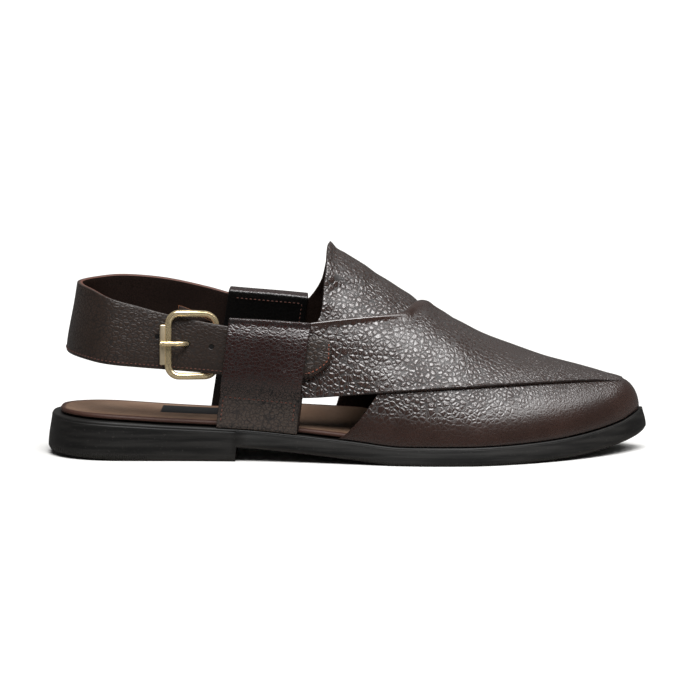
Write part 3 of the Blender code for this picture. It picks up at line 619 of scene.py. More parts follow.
def leather(
    name, tone, crease_shade_tone, per_metre, depth, gloss,
    coat=0.0, shine=0.3, fade=None, finer=None, foot=None, **stretch,
):
    """Pebbled leather; fade is an attribute that brings the grain up, finer the places where it
    shrinks, foot two heights and a lighter tone painted below them, fading out between them: a
    painted reflection of the floor. The creases between pebbles get painted shade."""
    made, tree, shader = start_material(name)
    grain = grain_of(tree, per_metre, **stretch)
    shader.inputs["Specular IOR Level"].default_value = shine
    crease, height = grain.outputs["Crease"], grain.outputs["Height"]
    if finer:
        small = grain_of(tree, per_metre * 1.7, **stretch)
        share = ranged(tree, object_parts(tree)["X"], *finer)
        low = maths(tree, "MULTIPLY", small.outputs["Height"], 0.85)
        change = maths(tree, "SUBTRACT", low, height)
        height = maths(tree, "ADD", height, maths(tree, "MULTIPLY", change, share))
        change = maths(tree, "SUBTRACT", small.outputs["Crease"], crease)
        crease = maths(tree, "ADD", crease, maths(tree, "MULTIPLY", change, share))
    if fade:
        shown = ranged(tree, attribute(tree, fade[0]), fade[1], fade[2], fade[3], 1.0)
        crease, height = maths(tree, "MULTIPLY", crease, shown), maths(tree, "MULTIPLY", height, shown)
    base_tone = blend(tree, ranged(tree, grain.outputs["Patch"], 0.35, 0.70), tone, [c * 1.35 for c in tone])
    # Painted reflection: below the foot heights the tone turns lighter, standing in for the floor's sheen.
    if foot:
        low = ranged(tree, object_parts(tree)["Z"], foot[0], foot[1], 1.0, 0.0)
        base_tone = blend(tree, low, base_tone, foot[2])
    # Painted shade: the creases between pebbles are darkened to the crease tone.
    colour = blend(tree, crease, base_tone, crease_shade_tone)
    tree.links.new(colour, shader.inputs["Base Color"])
    rough = ranged(tree, crease, 0.0, 1.0, *gloss)
    tree.links.new(rough, shader.inputs["Roughness"])
    raise_surface(tree, shader, height, depth)
    shader.inputs["Coat Weight"].default_value = coat
    shader.inputs["Coat Roughness"].default_value = 0.28
    return made


PEBBLES_PER_METRE = 400.0
# Painted shade colour for the creases between pebbles.
PAINTED_CREASE_SHADE = (0.0030, 0.0017, 0.0014)
TOE_GRAIN = (0.055, 0.115)
UPPER_LEATHER = leather(
    "upper_pebbled_leather", (0.024, 0.0112, 0.0078), PAINTED_CREASE_SHADE, PEBBLES_PER_METRE, 0.00034,
    gloss=(0.24, 0.9), coat=0.3, shine=1.0, finer=TOE_GRAIN,
)
VAMP_LEATHER = leather(
    "vamp_pebbled_leather", (0.024, 0.0108, 0.0076), PAINTED_CREASE_SHADE, PEBBLES_PER_METRE, 0.00034,
    gloss=(0.24, 0.9), coat=0.3, shine=1.0, finer=TOE_GRAIN, fade=("upward", 0.02, 0.09, 0.12),
)
BAND_LEATHER = leather(
    "band_pebbled_leather", (0.022, 0.0100, 0.0072), (0.0035, 0.0019, 0.0016), PEBBLES_PER_METRE, 0.00032,
    gloss=(0.25, 0.9), coat=0.3, shine=1.0, fade=("upward", 0.30, 0.72, 0.18), finer=(0.070, 0.125),
)
# The loops' lower part gets a lighter tone, a painted reflection of the floor.
LOOP_LEATHER = leather(
    "loop_oxblood_leather", (0.0165, 0.0050, 0.0042), (0.005, 0.002, 0.002), 600.0, 0.00011,
    gloss=(0.25, 0.55), shine=0.8, foot=(0.022, 0.046, (0.052, 0.038, 0.031)),
    turn=(0, math.radians(35), 0), stretch=(0.75, 1.0, 1.0),
)
STRAP_LEATHER = leather(
    "strap_dry_leather", (0.022, 0.0136, 0.0102), (0.008, 0.0050, 0.0038), 560.0, 0.00013,
    gloss=(0.36, 0.60), shine=0.45, turn=(0, math.radians(-30), 0), stretch=(0.8, 1.0, 1.0),
)
LINING = leather(
    "brown_lining", (0.016, 0.0080, 0.0056), (0.009, 0.0045, 0.0032), 900.0, 0.00008,
    gloss=(0.55, 0.65), shine=0.2,
)
BLACK_LINING = leather(
    "black_lining", (0.0030, 0.0027, 0.0026), (0.0015, 0.0015, 0.0015), 500.0, 0.00010,
    gloss=(0.32, 0.45),
)
print("leathers ready")


# %% Cut edges and thread
def cut_edge(name, outer, inner, step=0.55):
    """Two tones through the thickness: dyed grain layer, then the paler flesh layer."""
    made, tree, shader = start_material(name)
    fibres = noise_at(tree, object_spot(tree), 2500.0, 2.0)
    layered = blend(tree, ranged(tree, attribute(tree, "through"), step - 0.1, step + 0.1), outer, inner)
    dark = blend(tree, ranged(tree, fibres, 0.3, 0.7, 0.0, 0.5), layered, [c * 0.4 for c in inner])
    tree.links.new(dark, shader.inputs["Base Color"])
    shader.inputs["Roughness"].default_value = 0.6
    raise_surface(tree, shader, fibres, 0.0001)
    return made


PANEL_EDGE = cut_edge("dyed_panel_edge", (0.020, 0.012, 0.010), (0.045, 0.022, 0.016))
STRAP_EDGE = cut_edge("strap_cut_edge", (0.045, 0.032, 0.026), (0.16, 0.062, 0.042))
RAW_EDGE = cut_edge("raw_tan_edge", (0.30, 0.10, 0.03), (0.36, 0.13, 0.045))


def thread_material(name, tone):
    made, tree, shader = start_material(name)
    twist = noise_at(tree, object_spot(tree), 3000.0, 1.0)
    colour = blend(tree, ranged(tree, twist, 0.35, 0.65), tone, [c * 0.45 for c in tone])
    tree.links.new(colour, shader.inputs["Base Color"])
    shader.inputs["Roughness"].default_value = 0.55
    shader.inputs["Sheen Weight"].default_value = 0.15
    return made


RUST_THREAD = thread_material("rust_thread", (0.24, 0.055, 0.022))
DARK_THREAD = thread_material("dark_rust_thread", (0.13, 0.034, 0.018))
print("edges and thread ready")

# %% [markdown]
# ## Sole rubber, sock leather and brass
# The sole is moulded, so it has a satin skin, a faint parting line and fine ribs at
# its ground edge. The sock is a smooth padded leather with a darker rolled rim.


# %% Sole rubber
RIB_PITCH, PARTING_LINE = 0.0011, 0.87


def sole_rubber():
    """Satin rubber with fine ribs at the ground edge and one parting line below the top rim."""
    made, tree, shader = start_material("moulded_black_rubber")
    spot, length, height = object_spot(tree), object_parts(tree)["X"], attribute(tree, "through")
    smear = put(tree, "ShaderNodeMapping", {"Vector": spot, "Scale": (25.0, 60.0, 420.0)})
    streak = noise_at(tree, smear.outputs[0], 1.0, 4.0)
    speck = ranged(tree, noise_at(tree, spot, 900.0, 2.0), 0.66, 0.74, 0.0, 0.35)
    tone = blend(tree, ranged(tree, streak, 0.35, 0.7), (0.0065, 0.0062, 0.006), (0.014, 0.013, 0.012))
    tone = blend(tree, speck, tone, (0.06, 0.055, 0.05))
    low = ranged(tree, height, 0.0, 0.25, 0.55, 0.0)
    tone = blend(tree, low, tone, (0.035, 0.032, 0.028))
    tree.links.new(tone, shader.inputs["Base Color"])
    shader.inputs["Specular IOR Level"].default_value = 0.3
    tree.links.new(ranged(tree, streak, 0.3, 0.7, 0.40, 0.56), shader.inputs["Roughness"])
    ribs = maths(tree, "SINE", maths(tree, "MULTIPLY", length, 2 * math.pi / RIB_PITCH))
    fore = ranged(tree, length, -0.002, 0.002)
    fore = maths(tree, "MULTIPLY", fore, ranged(tree, length, 0.102, 0.106, 1.0, 0.0))
    heel = ranged(tree, length, -0.100, -0.096, 1.0, 0.0)
    ground = ranged(tree, height, 0.10, 0.17, 1.0, 0.0)
    where = maths(tree, "MULTIPLY", maths(tree, "ADD", fore, heel), ground)
    ribs = maths(tree, "MULTIPLY", ribs, where)
    line = maths(tree, "ABSOLUTE", maths(tree, "SUBTRACT", height, PARTING_LINE))
    line = ranged(tree, line, 0.0, 0.02, -0.8, 0.0)
    lift = maths(tree, "ADD", maths(tree, "MULTIPLY", ribs, 0.6), line)
    lift = maths(tree, "ADD", lift, maths(tree, "MULTIPLY", streak, 0.4))
    raise_surface(tree, shader, lift, 0.0003)
    return made


# %% Sock leather with its rim and bare patch
PATCH = {"x": (-0.0935, -0.0490), "y": (-0.0125, 0.0125)}


def box_mask(tree, spot, patch, soft=0.0004):
    part, mask = put(tree, "ShaderNodeSeparateXYZ", {0: spot}), None
    for axis, (low, high) in patch.items():
        value = part.outputs[axis.upper()]
        rise = ranged(tree, value, low - soft, low + soft)
        fall = ranged(tree, value, high - soft, high + soft, 1.0, 0.0)
        both = maths(tree, "MULTIPLY", rise, fall)
        mask = both if mask is None else maths(tree, "MULTIPLY", mask, both)
    return mask


def sock_leather():
    made, tree, shader = start_material("taupe_sock_leather")
    grain = grain_of(tree, 1300.0, bend=0.0006)
    spot, rim = object_spot(tree), attribute(tree, "rim")
    faded = ranged(tree, grain.outputs["Patch"], 0.3, 0.7)
    base_tone = blend(tree, faded, (0.185, 0.110, 0.070), (0.250, 0.160, 0.108))
    tone = blend(tree, rim, base_tone, (0.060, 0.026, 0.018))
    # Painted shade: the creases of the sock's grain are darkened a little.
    tone = blend(tree, maths(tree, "MULTIPLY", grain.outputs["Crease"], 0.35), tone, (0.05, 0.028, 0.02))
    patch = box_mask(tree, spot, PATCH)
    values = {"Vector": spot, "Scale": 300.0, "Distortion": 0.0}
    weave = put(tree, "ShaderNodeTexWave", values, bands_direction="X")
    cloth = blend(tree, weave.outputs["Fac"], (0.006, 0.006, 0.0065), (0.011, 0.011, 0.012))
    tree.links.new(blend(tree, patch, tone, cloth), shader.inputs["Base Color"])
    shader.inputs["Specular IOR Level"].default_value = 0.3
    rough = ranged(tree, maths(tree, "SUBTRACT", rim, patch), -1.0, 1.0, 0.8, 0.45)
    tree.links.new(rough, shader.inputs["Roughness"])
    pebbles = maths(tree, "MULTIPLY", grain.outputs["Height"], 0.35)
    lift = maths(tree, "ADD", pebbles, maths(tree, "MULTIPLY", patch, 0.9))
    raise_surface(tree, shader, lift, 0.00018)
    return made


# %% Brass
def brass(name, tone, rough, brushed):
    made, tree, shader = start_material(name)
    spot = object_spot(tree)
    drawn = put(tree, "ShaderNodeMapping", {"Vector": spot, "Scale": (6000.0, 6000.0, brushed)})
    marks = noise_at(tree, drawn.outputs[0], 1.0, 3.0)
    tarnish = ranged(tree, noise_at(tree, spot, 180.0, 3.0), 0.45, 0.75)
    tree.links.new(blend(tree, tarnish, tone, [c * 0.88 for c in tone]), shader.inputs["Base Color"])
    tree.links.new(ranged(tree, marks, 0.3, 0.7, rough, rough + 0.03), shader.inputs["Roughness"])
    shader.inputs["Metallic"].default_value = 0.84
    raise_surface(tree, shader, marks, 0.000002)
    return made


RUBBER, SOCK = sole_rubber(), sock_leather()
PALE_BRASS = brass("pale_gold_wire", (1.0, 0.80, 0.48), 0.14, 900.0)
SATIN_BRASS = brass("satin_gold_plate", (0.86, 0.71, 0.48), 0.34, 300.0)
print("rubber, sock leather and brass ready")

# %% [markdown]
# ## Outsole
# One moulded block: a flat unit block is extruded and its walls are cut into
# levels, and each level then follows the outline with its own small inset, so the
# wall flares a little towards the ground and both rims are rounded.

# %% Outsole
SOLE_LEVELS = Table(("rise", "margin", "height"), [
    (0.0, 1.0 * SOLE_EDGE, 0.0),
    (0.1, 0.0, 0.10),
    (0.2, 0.02 * SOLE_FLARE, 0.20),
    (0.5, 0.35 * SOLE_FLARE, 0.5),
    (0.8, 0.85 * SOLE_FLARE, 0.82),
    (0.9, 1.0 * SOLE_FLARE, 0.95),
    (1.0, SOLE_FLARE + 0.6 * SOLE_EDGE, 1.0),
])


def stations_along(share):
    return 0.5 - 0.5 * math.cos(math.pi * share)


def inside_plan(at, across, margin):
    """Point in the plan, at a margin from the outline; across runs from -1 to 1."""
    shift = margin * math.sqrt(1 - rounding(at) ** 2) / SOLE_LENGTH
    moved = at + shift if at < 0.5 else at - shift
    low = plan(at, -1) + margin * rounding(at)
    high = plan(at, 1) - margin * rounding(at)
    return moved, lerp(low, high, 0.5 + 0.5 * across)


SOLE_STATIONS = 150
BREAST_STATION = min(
    range(SOLE_STATIONS + 1), key=lambda k: abs(stations_along(k / SOLE_STATIONS) - BREAST),
)
SOLE_MARKS = {BREAST_STATION: BREAST, BREAST_STATION + 1: BREAST + BREAST_RAMP / SOLE_LENGTH}


def sole_point(along, across, rise):
    step = round(along * SOLE_STATIONS)
    at = SOLE_MARKS.get(step, stations_along(along))
    margin = SOLE_LEVELS.read("margin", rise)
    moved, y = inside_plan(at, math.sin(math.pi * (across - 0.5)), margin)
    wall = abs(2 * across - 1)
    height = SOLE_LEVELS.read("height", rise)
    z = lerp(sole_bottom(moved if step not in SOLE_MARKS else at), sole_top(moved), height)
    if rise >= 0.999 and wall < 0.97:
        z -= 0.0002
    return Vector((place(moved), y, z))


def make_outsole():
    work = flat_sheet(SOLE_STATIONS, 14)
    risers = [e for e in work.edges if abs(e.verts[0].co.z - e.verts[1].co.z) > 0.5]
    bmesh.ops.subdivide_edges(work, edges=risers, cuts=9, use_grid_fill=True)
    lay_on(work, sole_point)
    return hand_over(work, "moulded_outsole", [RUBBER, RUBBER, RUBBER], ["outsole"])


make_outsole()

# %% [markdown]
# ## Padded insole
# A thin pad under sock leather, with its edge rolled over. The rim's own tone follows an attribute that is 1
# at the edge.


# %% Insole
ARCH_RISE, SOCK_ROLL, SOCK_CROWN = 0.0042, 0.0016, 0.0009
RIM_WIDTH, GROOVE_DEPTH = 0.0031, 0.00045


def sock_edge_distance(at, across):
    margin = INSOLE_MARGIN + 2 * LEATHER * smooth(at, 0.70, 0.86)
    moved, y = inside_plan(at, across, margin)
    sideways = (1 - abs(across)) * 0.5 * (plan(at, 1) - plan(at, -1) - 2 * margin * rounding(at))
    endways = min(at, 1 - at) * SOLE_LENGTH + 1e-6
    sideways = max(sideways, 0.0) + 1e-6
    return moved, y, sideways * endways / math.hypot(sideways, endways)


def sock_point(along, across, deep):
    at, share = stations_along(along), math.sin(math.pi * (across - 0.5))
    moved, y, inward = sock_edge_distance(at, share)
    fall = 1 - math.sqrt(max(1 - (1 - min(inward / SOCK_ROLL, 1.0)) ** 2, 0.0))
    if deep > 0.5:
        return Vector((place(moved), y, seat(moved) + 0.0008 * fall))
    arch = smooth(at, 0.26, 0.42) * (1 - smooth(at, 0.50, 0.66)) * smooth(share, -0.2, 0.95)
    crown = SOCK_CROWN * smooth(inward, 0.001, 0.02)
    groove = GROOVE_DEPTH * hump(inward, RIM_WIDTH, 0.0006)
    z = seat(moved) + INSOLE_THICKNESS - 0.0014 * fall + crown - groove + ARCH_RISE * arch
    return Vector((place(moved), y, z))


def make_insole():
    work = flat_sheet(130, 46)
    rim = work.verts.layers.float.new("rim")
    for vert in work.verts:
        share = math.sin(math.pi * (vert.co.y - 0.5))
        inward = sock_edge_distance(stations_along(vert.co.x), share)[2]
        vert[rim] = 1 - smooth(inward, 0.0026, 0.0036)
    lay_on(work, sock_point)
    return hand_over(work, "padded_insole", [SOCK, LINING, SOCK], ["insole"])


insole = make_insole()

# %% [markdown]
# ## The upper
# Three panels: a band round the toe, a panel that rises to the peak and runs down
# to the inner loop, and the vamp panel that crosses over it and runs into the
# outer loop. Creases are placed as routes of (x, z) points on the side.


# %% Creases
def nearness(x, z, route, width):
    """1 on a route of points, falling off softly with distance."""
    best = 1.0
    for (ax, az), (bx, bz) in zip(route, route[1:]):
        run_x, run_z = bx - ax, bz - az
        share = ((x - ax) * run_x + (z - az) * run_z) / (run_x**2 + run_z**2 + 1e-12)
        share = min(max(share, 0.0), 1.0)
        best = min(best, math.hypot(x - ax - run_x * share, z - az - run_z * share))
    return hump(best, 0.0, width)


VAMP_CREASES = [
    (((0.0304, 0.0753), (0.0333, 0.0712), (0.0320, 0.0671), (0.0296, 0.0641)), 0.0012, -0.0005),
    (((-0.0120, 0.0520), (0.0060, 0.0500), (0.0250, 0.0470)), 0.0050, -0.0004),
    (((0.0350, 0.0620), (0.0520, 0.0540)), 0.0080, 0.0006),
]
PEAK_CREASES = [
    (((-0.0085, 0.1051), (-0.0100, 0.0982), (-0.0108, 0.0868), (-0.0118, 0.0769)), 0.0032, 0.0009),
    (((-0.0060, 0.1015), (-0.0066, 0.0985)), 0.0022, -0.0009),
    (((-0.0100, 0.0898), (0.0060, 0.0880)), 0.0040, 0.0008),
    (((-0.0120, 0.0830), (0.0010, 0.0846), (0.0120, 0.0850)), 0.0050, -0.0009),
]


def creased(at, turn, creases):
    """How far the creases lift or sink the leather at a place."""
    point = last_point(at, turn)
    return sum(depth * nearness(point.x, point.z, route, width) for route, width, depth in creases)


print("creases:", len(VAMP_CREASES), "on the vamp,", len(PEAK_CREASES), "at the peak")


# %% Edges of the panels
BAND_SIDE, CROSS_RIDGE, CROSS_LOOP, VAMP_RIDGE, VAMP_TIP = 0.34, 0.42, 0.62, 0.6, 0.74
COLLAR_FOOT, COLLAR_TOP, COLLAR_LOOP = 0.0560, 0.1075, 0.0745
HEM_START, HEM_RIDGE, HEM_INNER, VAMP_INNER, VAMP_REAR = 0.60, 0.672, 0.775, 0.735, 0.77


def edge_turn(column, at, side=-1):
    return turn_at_height(at, PANEL_EDGES.read(column, at) * INSTEP_HEIGHT, side)


def medial_lift(turn):
    """The inner side's panels lap over the toe band, so they lie one leather further out."""
    return (LEATHER - LAP) * smooth(turn, math.radians(75), math.radians(112))


def fan_edge(angle):
    """How far the last reaches from the fan's centre at an angle, found by halving."""
    centre_y = last_section(BAND_FAN)[0]
    low, high = 0.0, 0.5 * BALL_WIDTH
    for _ in range(30):
        reach = (low + high) / 2
        at = BAND_FAN + reach * math.cos(angle) / SOLE_LENGTH
        across = centre_y + reach * math.sin(angle)
        inside = at < LAST_END and feather(at, -1) < across < feather(at, 1)
        low, high = (reach, high) if inside else (low, reach)
    return low


def band_place(share, rise):
    """Place and turn on the last for the toe band: level sides, then a fan round the toe."""
    near_end = min(share, 1 - share) / BAND_SIDE
    if near_end <= 1:
        side = -1 if share < 0.5 else 1
        rear, slant = BAND_ENDS[side]
        lean = slant * (1 - smooth(near_end, 0.0, 0.5))
        at = lerp(rear, BAND_FAN, near_end) + lean * rise
        turn = rise * edge_turn("band_top", at)
        return at, (turn if side < 0 else math.pi - turn)
    angle = lerp(-math.pi / 2, math.pi / 2, (share - BAND_SIDE) / (1 - 2 * BAND_SIDE))
    level = rise * edge_turn("band_top", BAND_FAN)
    spread = math.cos(level) ** (2 / SECTIONS.read("full_width", BAND_FAN))
    reach = fan_edge(angle) * spread
    at = BAND_FAN + reach * math.cos(angle) / SOLE_LENGTH
    ridge_y = last_section(at)[0]
    across = last_section(BAND_FAN)[0] + reach * math.sin(angle) - ridge_y
    width = abs(feather(at, -1 if across < 0 else 1) - ridge_y) + 1e-6
    turn = math.acos(min(abs(across) / width, 1.0) ** (SECTIONS.read("full_width", at) / 2))
    return at, (turn if across < 0 else math.pi - turn)


COLLAR = Table(("level", "near", "far"), [
    (0.0560, 0.4430, 0.4100),
    (0.0640, 0.4440, 0.4200),
    (0.0675, 0.4475, 0.4260),
    (0.0710, 0.4540, 0.4300),
    (0.0745, 0.4565, 0.4340),
    (0.0777, 0.4580, 0.4420),
    (0.0810, 0.4590, 0.4490),
    (0.0855, 0.4602, 0.4560),
    (0.0940, 0.4630, 0.4620),
    (0.1010, 0.4655, 0.4660),
    (0.1055, 0.4690, 0.4700),
    (0.1075, 0.4710, 0.4710),
])


def collar_edge(share):
    """Rear edge of the cross panel: outer foot, peak, down to the inner loop, then the wing."""
    if share < CROSS_RIDGE:
        along = share / CROSS_RIDGE
        level = lerp(COLLAR_FOOT, COLLAR_TOP, along**1.15)
        at = COLLAR.read("near", level)
        return at, lerp(turn_at_height(at, level), math.pi / 2, smooth(along, 0.93, 1.0))
    along = (share - CROSS_RIDGE) / (1 - CROSS_RIDGE) / CROSS_LOOP
    if along < 1:
        level = lerp(COLLAR_TOP, COLLAR_LOOP, along**0.9)
        at = COLLAR.read("far", level)
        return at, lerp(turn_at_height(at, level, 1), math.pi / 2, 1 - smooth(along, 0.0, 0.07))
    rest = (along - 1) * CROSS_LOOP / (1 - CROSS_LOOP)
    at = lerp(0.434, WING_END, rest)
    wing = edge_turn("collar", at, 1)
    return at, lerp(turn_at_height(at, COLLAR_LOOP, 1), wing, smooth(rest, 0.0, 0.3))


def cross_hem(share):
    """Front edge of the cross panel, hidden under the vamp over the ridge, then its hem inside."""
    start = HEM_START, turn_at_height(HEM_START, 0.64 * INSTEP_HEIGHT)
    ridge = HEM_RIDGE, math.pi / 2
    if share < CROSS_RIDGE:
        return between(start, ridge, share / CROSS_RIDGE)
    along = (share - CROSS_RIDGE) / (1 - CROSS_RIDGE)
    if along < 0.3:
        return between(ridge, (HEM_INNER, edge_turn("low", HEM_INNER, 1)), along / 0.3)
    at = lerp(HEM_INNER, WING_END, (along - 0.3) / 0.7)
    return at, edge_turn("low", at, 1)


def throat_edge(share):
    """Rear edge of the vamp: up the throat to the crossing, then down the inner side."""
    if share < VAMP_RIDGE:
        at = lerp(WING_END, CROSSING, (share / VAMP_RIDGE) ** 0.9)
        return at, lerp(edge_turn("throat", at), math.pi / 2, smooth(at, 0.585, CROSSING))
    along = (share - VAMP_RIDGE) / (1 - VAMP_RIDGE)
    return between((CROSSING, math.pi / 2), (VAMP_INNER, edge_turn("low", VAMP_INNER, 1)), along)


def vamp_hem(share):
    """Lower edge of the vamp: along the outer side to the toe, then back along the inner one."""
    if share < VAMP_TIP:
        at = lerp(WING_END, VAMP_FRONT, 1 - (1 - share / VAMP_TIP) ** 1.7)
        return at, lerp(edge_turn("low", at), math.pi / 2, smooth(at, VAMP_FRONT - 0.004, VAMP_FRONT))
    along = (share - VAMP_TIP) / (1 - VAMP_TIP)
    at = lerp(VAMP_FRONT, VAMP_REAR, along**1.7)
    return at, lerp(edge_turn("low", at, 1), math.pi / 2, smooth(at, VAMP_FRONT - 0.004, VAMP_FRONT))


print("panels cross on the ridge at x", round(place(CROSSING) * 1000, 1), "mm")


# %% Toe band
def band_point(share, rise, deep):
    at, turn = band_place(share, rise)
    return last_offset(at, turn, -LEATHER * deep)


def make_toe_band():
    work = flat_sheet(150, 16)
    lay_on(work, band_point)
    round_cut_edges(work, 0.0004)
    return hand_over(work, "toe_band", [BAND_LEATHER, LINING, PANEL_EDGE], ["upper"])


make_toe_band()


# %% Cross panel with the peak
def cross_point(share, across, deep):
    """Cross panel, sunk where the vamp covers it and a little on the ridge at the peak."""
    at, turn = between(collar_edge(share), cross_hem(share), across)
    sink = 0.0026 * smooth(at, CROSSING - 0.040, CROSSING - 0.004) * smooth(turn, 0.9, 1.3)
    sink *= 1 - smooth(turn, 1.7, 2.1)
    sink += 0.0013 * (1 - smooth(at, 0.471, 0.530)) * smooth(turn, 1.1, 1.5) * (1 - smooth(turn, 1.65, 2.0))
    depth = medial_lift(turn) + creased(at, turn, PEAK_CREASES) - sink
    return last_offset(at, turn, depth - LEATHER * deep)


def make_cross_panel():
    work = flat_sheet(90, 44)
    lay_on(work, cross_point)
    round_cut_edges(work, 0.0004)
    return hand_over(work, "cross_panel", [UPPER_LEATHER, LINING, PANEL_EDGE], ["upper"], 1)


make_cross_panel()


# %% Vamp panel
def vamp_point(share, across, deep):
    """Vamp with a rolled rear edge, a shallow trough in front of the roll and a lifted hem."""
    rear, hem = throat_edge(share), vamp_hem(share)
    at, turn = between(rear, hem, across)
    far = medial_lift(turn) * (1 - smooth(at, 0.76, 0.84))
    from_edge = (last_point(at, turn) - last_point(*rear)).length
    free = smooth(rear[0], 0.42, 0.50)
    rolled = (0.0010 - 0.0008 * smooth(rear[0], 0.56, 0.62)) * hump(from_edge, 0.0014, 0.0018)
    trough = 0.0003 * hump(from_edge, 0.0062, 0.0026)
    lift = (LEATHER - LAP) * (1 - 0.65 * smooth(at, 0.91, 0.955))
    from_hem = (last_point(at, turn) - last_point(*hem)).length
    rolled += 0.0006 * hump(from_hem, 0.0010, 0.0016) * (1 - smooth(at, 0.86, 0.93))
    settled = 0.0011 * smooth(at, CROSSING - 0.01, CROSSING + 0.01) * (1 - smooth(at, 0.655, 0.74))
    settled *= smooth(turn, 1.0, 1.35)
    depth = lift + far - settled + (rolled - trough) * free + creased(at, turn, VAMP_CREASES)
    return last_offset(at, turn, depth - LEATHER * deep)


def make_vamp():
    work = flat_sheet(130, 46)
    lay_on(work, vamp_point)
    round_cut_edges(work, 0.0006, 3)
    turn_edge_over(work)
    return hand_over(work, "vamp_panel", [VAMP_LEATHER, LINING, PANEL_EDGE], ["upper"], 1)


make_vamp()

# %% [markdown]
# ## Side loops
# Each loop is a strip of leather folded over the strap and sewn down in a box of
# stitches. The sheet's y share runs once round the fold, so its two end walls are
# taken away and its ends are merged.

# %% Profiles of the loops
WALL_STEPS, FOLD_STEPS = 26, 9


def loop_station(side, share):
    """Place along the sole and the level of the loop's top there."""
    at = lerp(LOOPS[side]["rear"], LOOPS[side]["front"], share)
    return at, LOOP_TOP.read(LOOPS[side]["top"], at) * ANKLE_HEIGHT


@functools.lru_cache(maxsize=None)
def loop_profile(side, share):
    """Outer and slot rings at one station, as (depth, level) pairs."""
    at, top = loop_station(side, share)
    base = seat(at)
    slot_low = PANEL_EDGES.read("low", at) * INSTEP_HEIGHT - 1.5 * GAP
    slot_high = top - LEATHER
    outer, slot = [], []
    for k in range(WALL_STEPS + 1):
        rise = k / WALL_STEPS
        level = lerp(base, top - LEATHER, rise)
        outer.append((lerp(LEATHER - LAP, SLOT_FAR + LEATHER, LOOP_SWELL.read("out", rise)), level))
        slot_level = lerp(slot_low, slot_high - LOOP_CORNER, rise)
        slot_rise = (slot_level - base) / (top - LEATHER - base)
        slot.append((lerp(STRAP_INNER, SLOT_FAR, LOOP_SWELL.read("out", slot_rise)), slot_level))
    inner_face = -LAP - GAP - LOOP_LINING
    middle, half = (SLOT_FAR + LEATHER + inner_face) / 2, (SLOT_FAR + LEATHER - inner_face) / 2
    inner_half = half - LEATHER
    for k in range(1, FOLD_STEPS):
        angle = math.pi * k / FOLD_STEPS
        outer.append((middle + half * math.cos(angle), top - LEATHER * (1 - math.sin(angle) ** 0.6)))
        slot.append((middle + inner_half * math.cos(angle), slot_high - LOOP_CORNER * (1 - math.sin(angle))))
    for k in range(WALL_STEPS, -1, -1):
        rise = k / WALL_STEPS
        outer.append((inner_face, lerp(base, top - LEATHER, rise)))
        slot.append((inner_face + LOOP_LINING, lerp(slot_low, slot_high - LOOP_CORNER, rise)))
    return outer, slot


RING = 2 * (WALL_STEPS + 1) + FOLD_STEPS - 1


def loop_wall(side, share, depth, level):
    """Point on a loop's wall at one share between its rear and front edge."""
    lean = LOOPS[side]["slant"] * ((level - 0.5 * ANKLE_HEIGHT) / ANKLE_HEIGHT)
    return wall_offset(run_at(loop_station(side, share)[0] + lean, side), level, depth)


def loop_relief(side, share, level):
    """Soft form of the outer wall: full in the middle, leaning in under the fold, pulled in by the seam."""
    top = loop_station(side, share)[1]
    edge = min(min(share, 1 - share) / 0.5, 1.0)
    relief = 0.00035 * math.sin(math.pi * edge / 2) * smooth(level, 0.034, 0.044)
    relief -= 0.0015 * smooth(level, top - 0.011, top - 0.001) ** 1.4
    return relief - 0.00025 * hump(level, lerp(0.0315, 0.0285, share), 0.0007)


def loop_outer(side, share, level):
    """Depth of the loop's outer face at a level."""
    at, top = loop_station(side, share)
    rise = (level - seat(at)) / (top - LEATHER - seat(at))
    flat = lerp(LEATHER - LAP, SLOT_FAR + LEATHER, LOOP_SWELL.read("out", rise))
    return flat + loop_relief(side, share, level)


print("outer loop's top:", [round(loop_station(-1, share)[1] * 1000, 1) for share in (0, 1)], "mm")


# %% Side loops
def make_side_loop(name, side, stands_for):
    def ring_point(share, around, deep):
        outer, slot = loop_profile(side, share)
        depth, level = (slot if deep > 0.5 else outer)[round(around * RING) % RING]
        if deep < 0.5 and round(around * RING) <= WALL_STEPS:
            depth += loop_relief(side, share, level)
        return loop_wall(side, share, depth, level)

    work = flat_sheet(40, RING)
    open_seam(work)
    inner_face = [
        f for f in work.faces
        if f.material_index == 0 and f.calc_center_median().y * RING > WALL_STEPS + FOLD_STEPS - 1
    ]
    for face in inner_face:
        face.material_index = 3
    lay_on(work, ring_point)
    round_cut_edges(work, 0.00035)
    finishes = [LOOP_LEATHER, LINING, PANEL_EDGE, BLACK_LINING]
    return hand_over(work, name, finishes, [stands_for])


make_side_loop("outer_side_loop", -1, "side_loop_lateral")
make_side_loop("inner_side_loop", 1, "side_loop_medial")

# %% [markdown]
# ## Heel strap
# Two leathers glued back to back, cut with a rounded tip. Its holes are round; the
# strap's own finish paints them near black as painted shade and sinks them at their places.


# %% Strap shape
TIP_SHARE, TIP_RUN = 0.1, 0.05


def strap_levels(run):
    at = at_of_run(run)
    names = ("near_low", "near_high") if run < 0 else ("far_low", "far_high")
    return [STRAP.read(name, at) * ANKLE_HEIGHT for name in names]


def strap_run(share):
    """The strap's first cells are shorter, so that its rounded tip comes out clean."""
    tip, end = run_at(STRAP_TIP, -1), run_at(STRAP_END, 1)
    near_tip = tip + (end - tip) * TIP_RUN
    if share < TIP_SHARE:
        return lerp(tip, near_tip, (share / TIP_SHARE) ** 1.6)
    return lerp(near_tip, end, (share - TIP_SHARE) / (1 - TIP_SHARE))


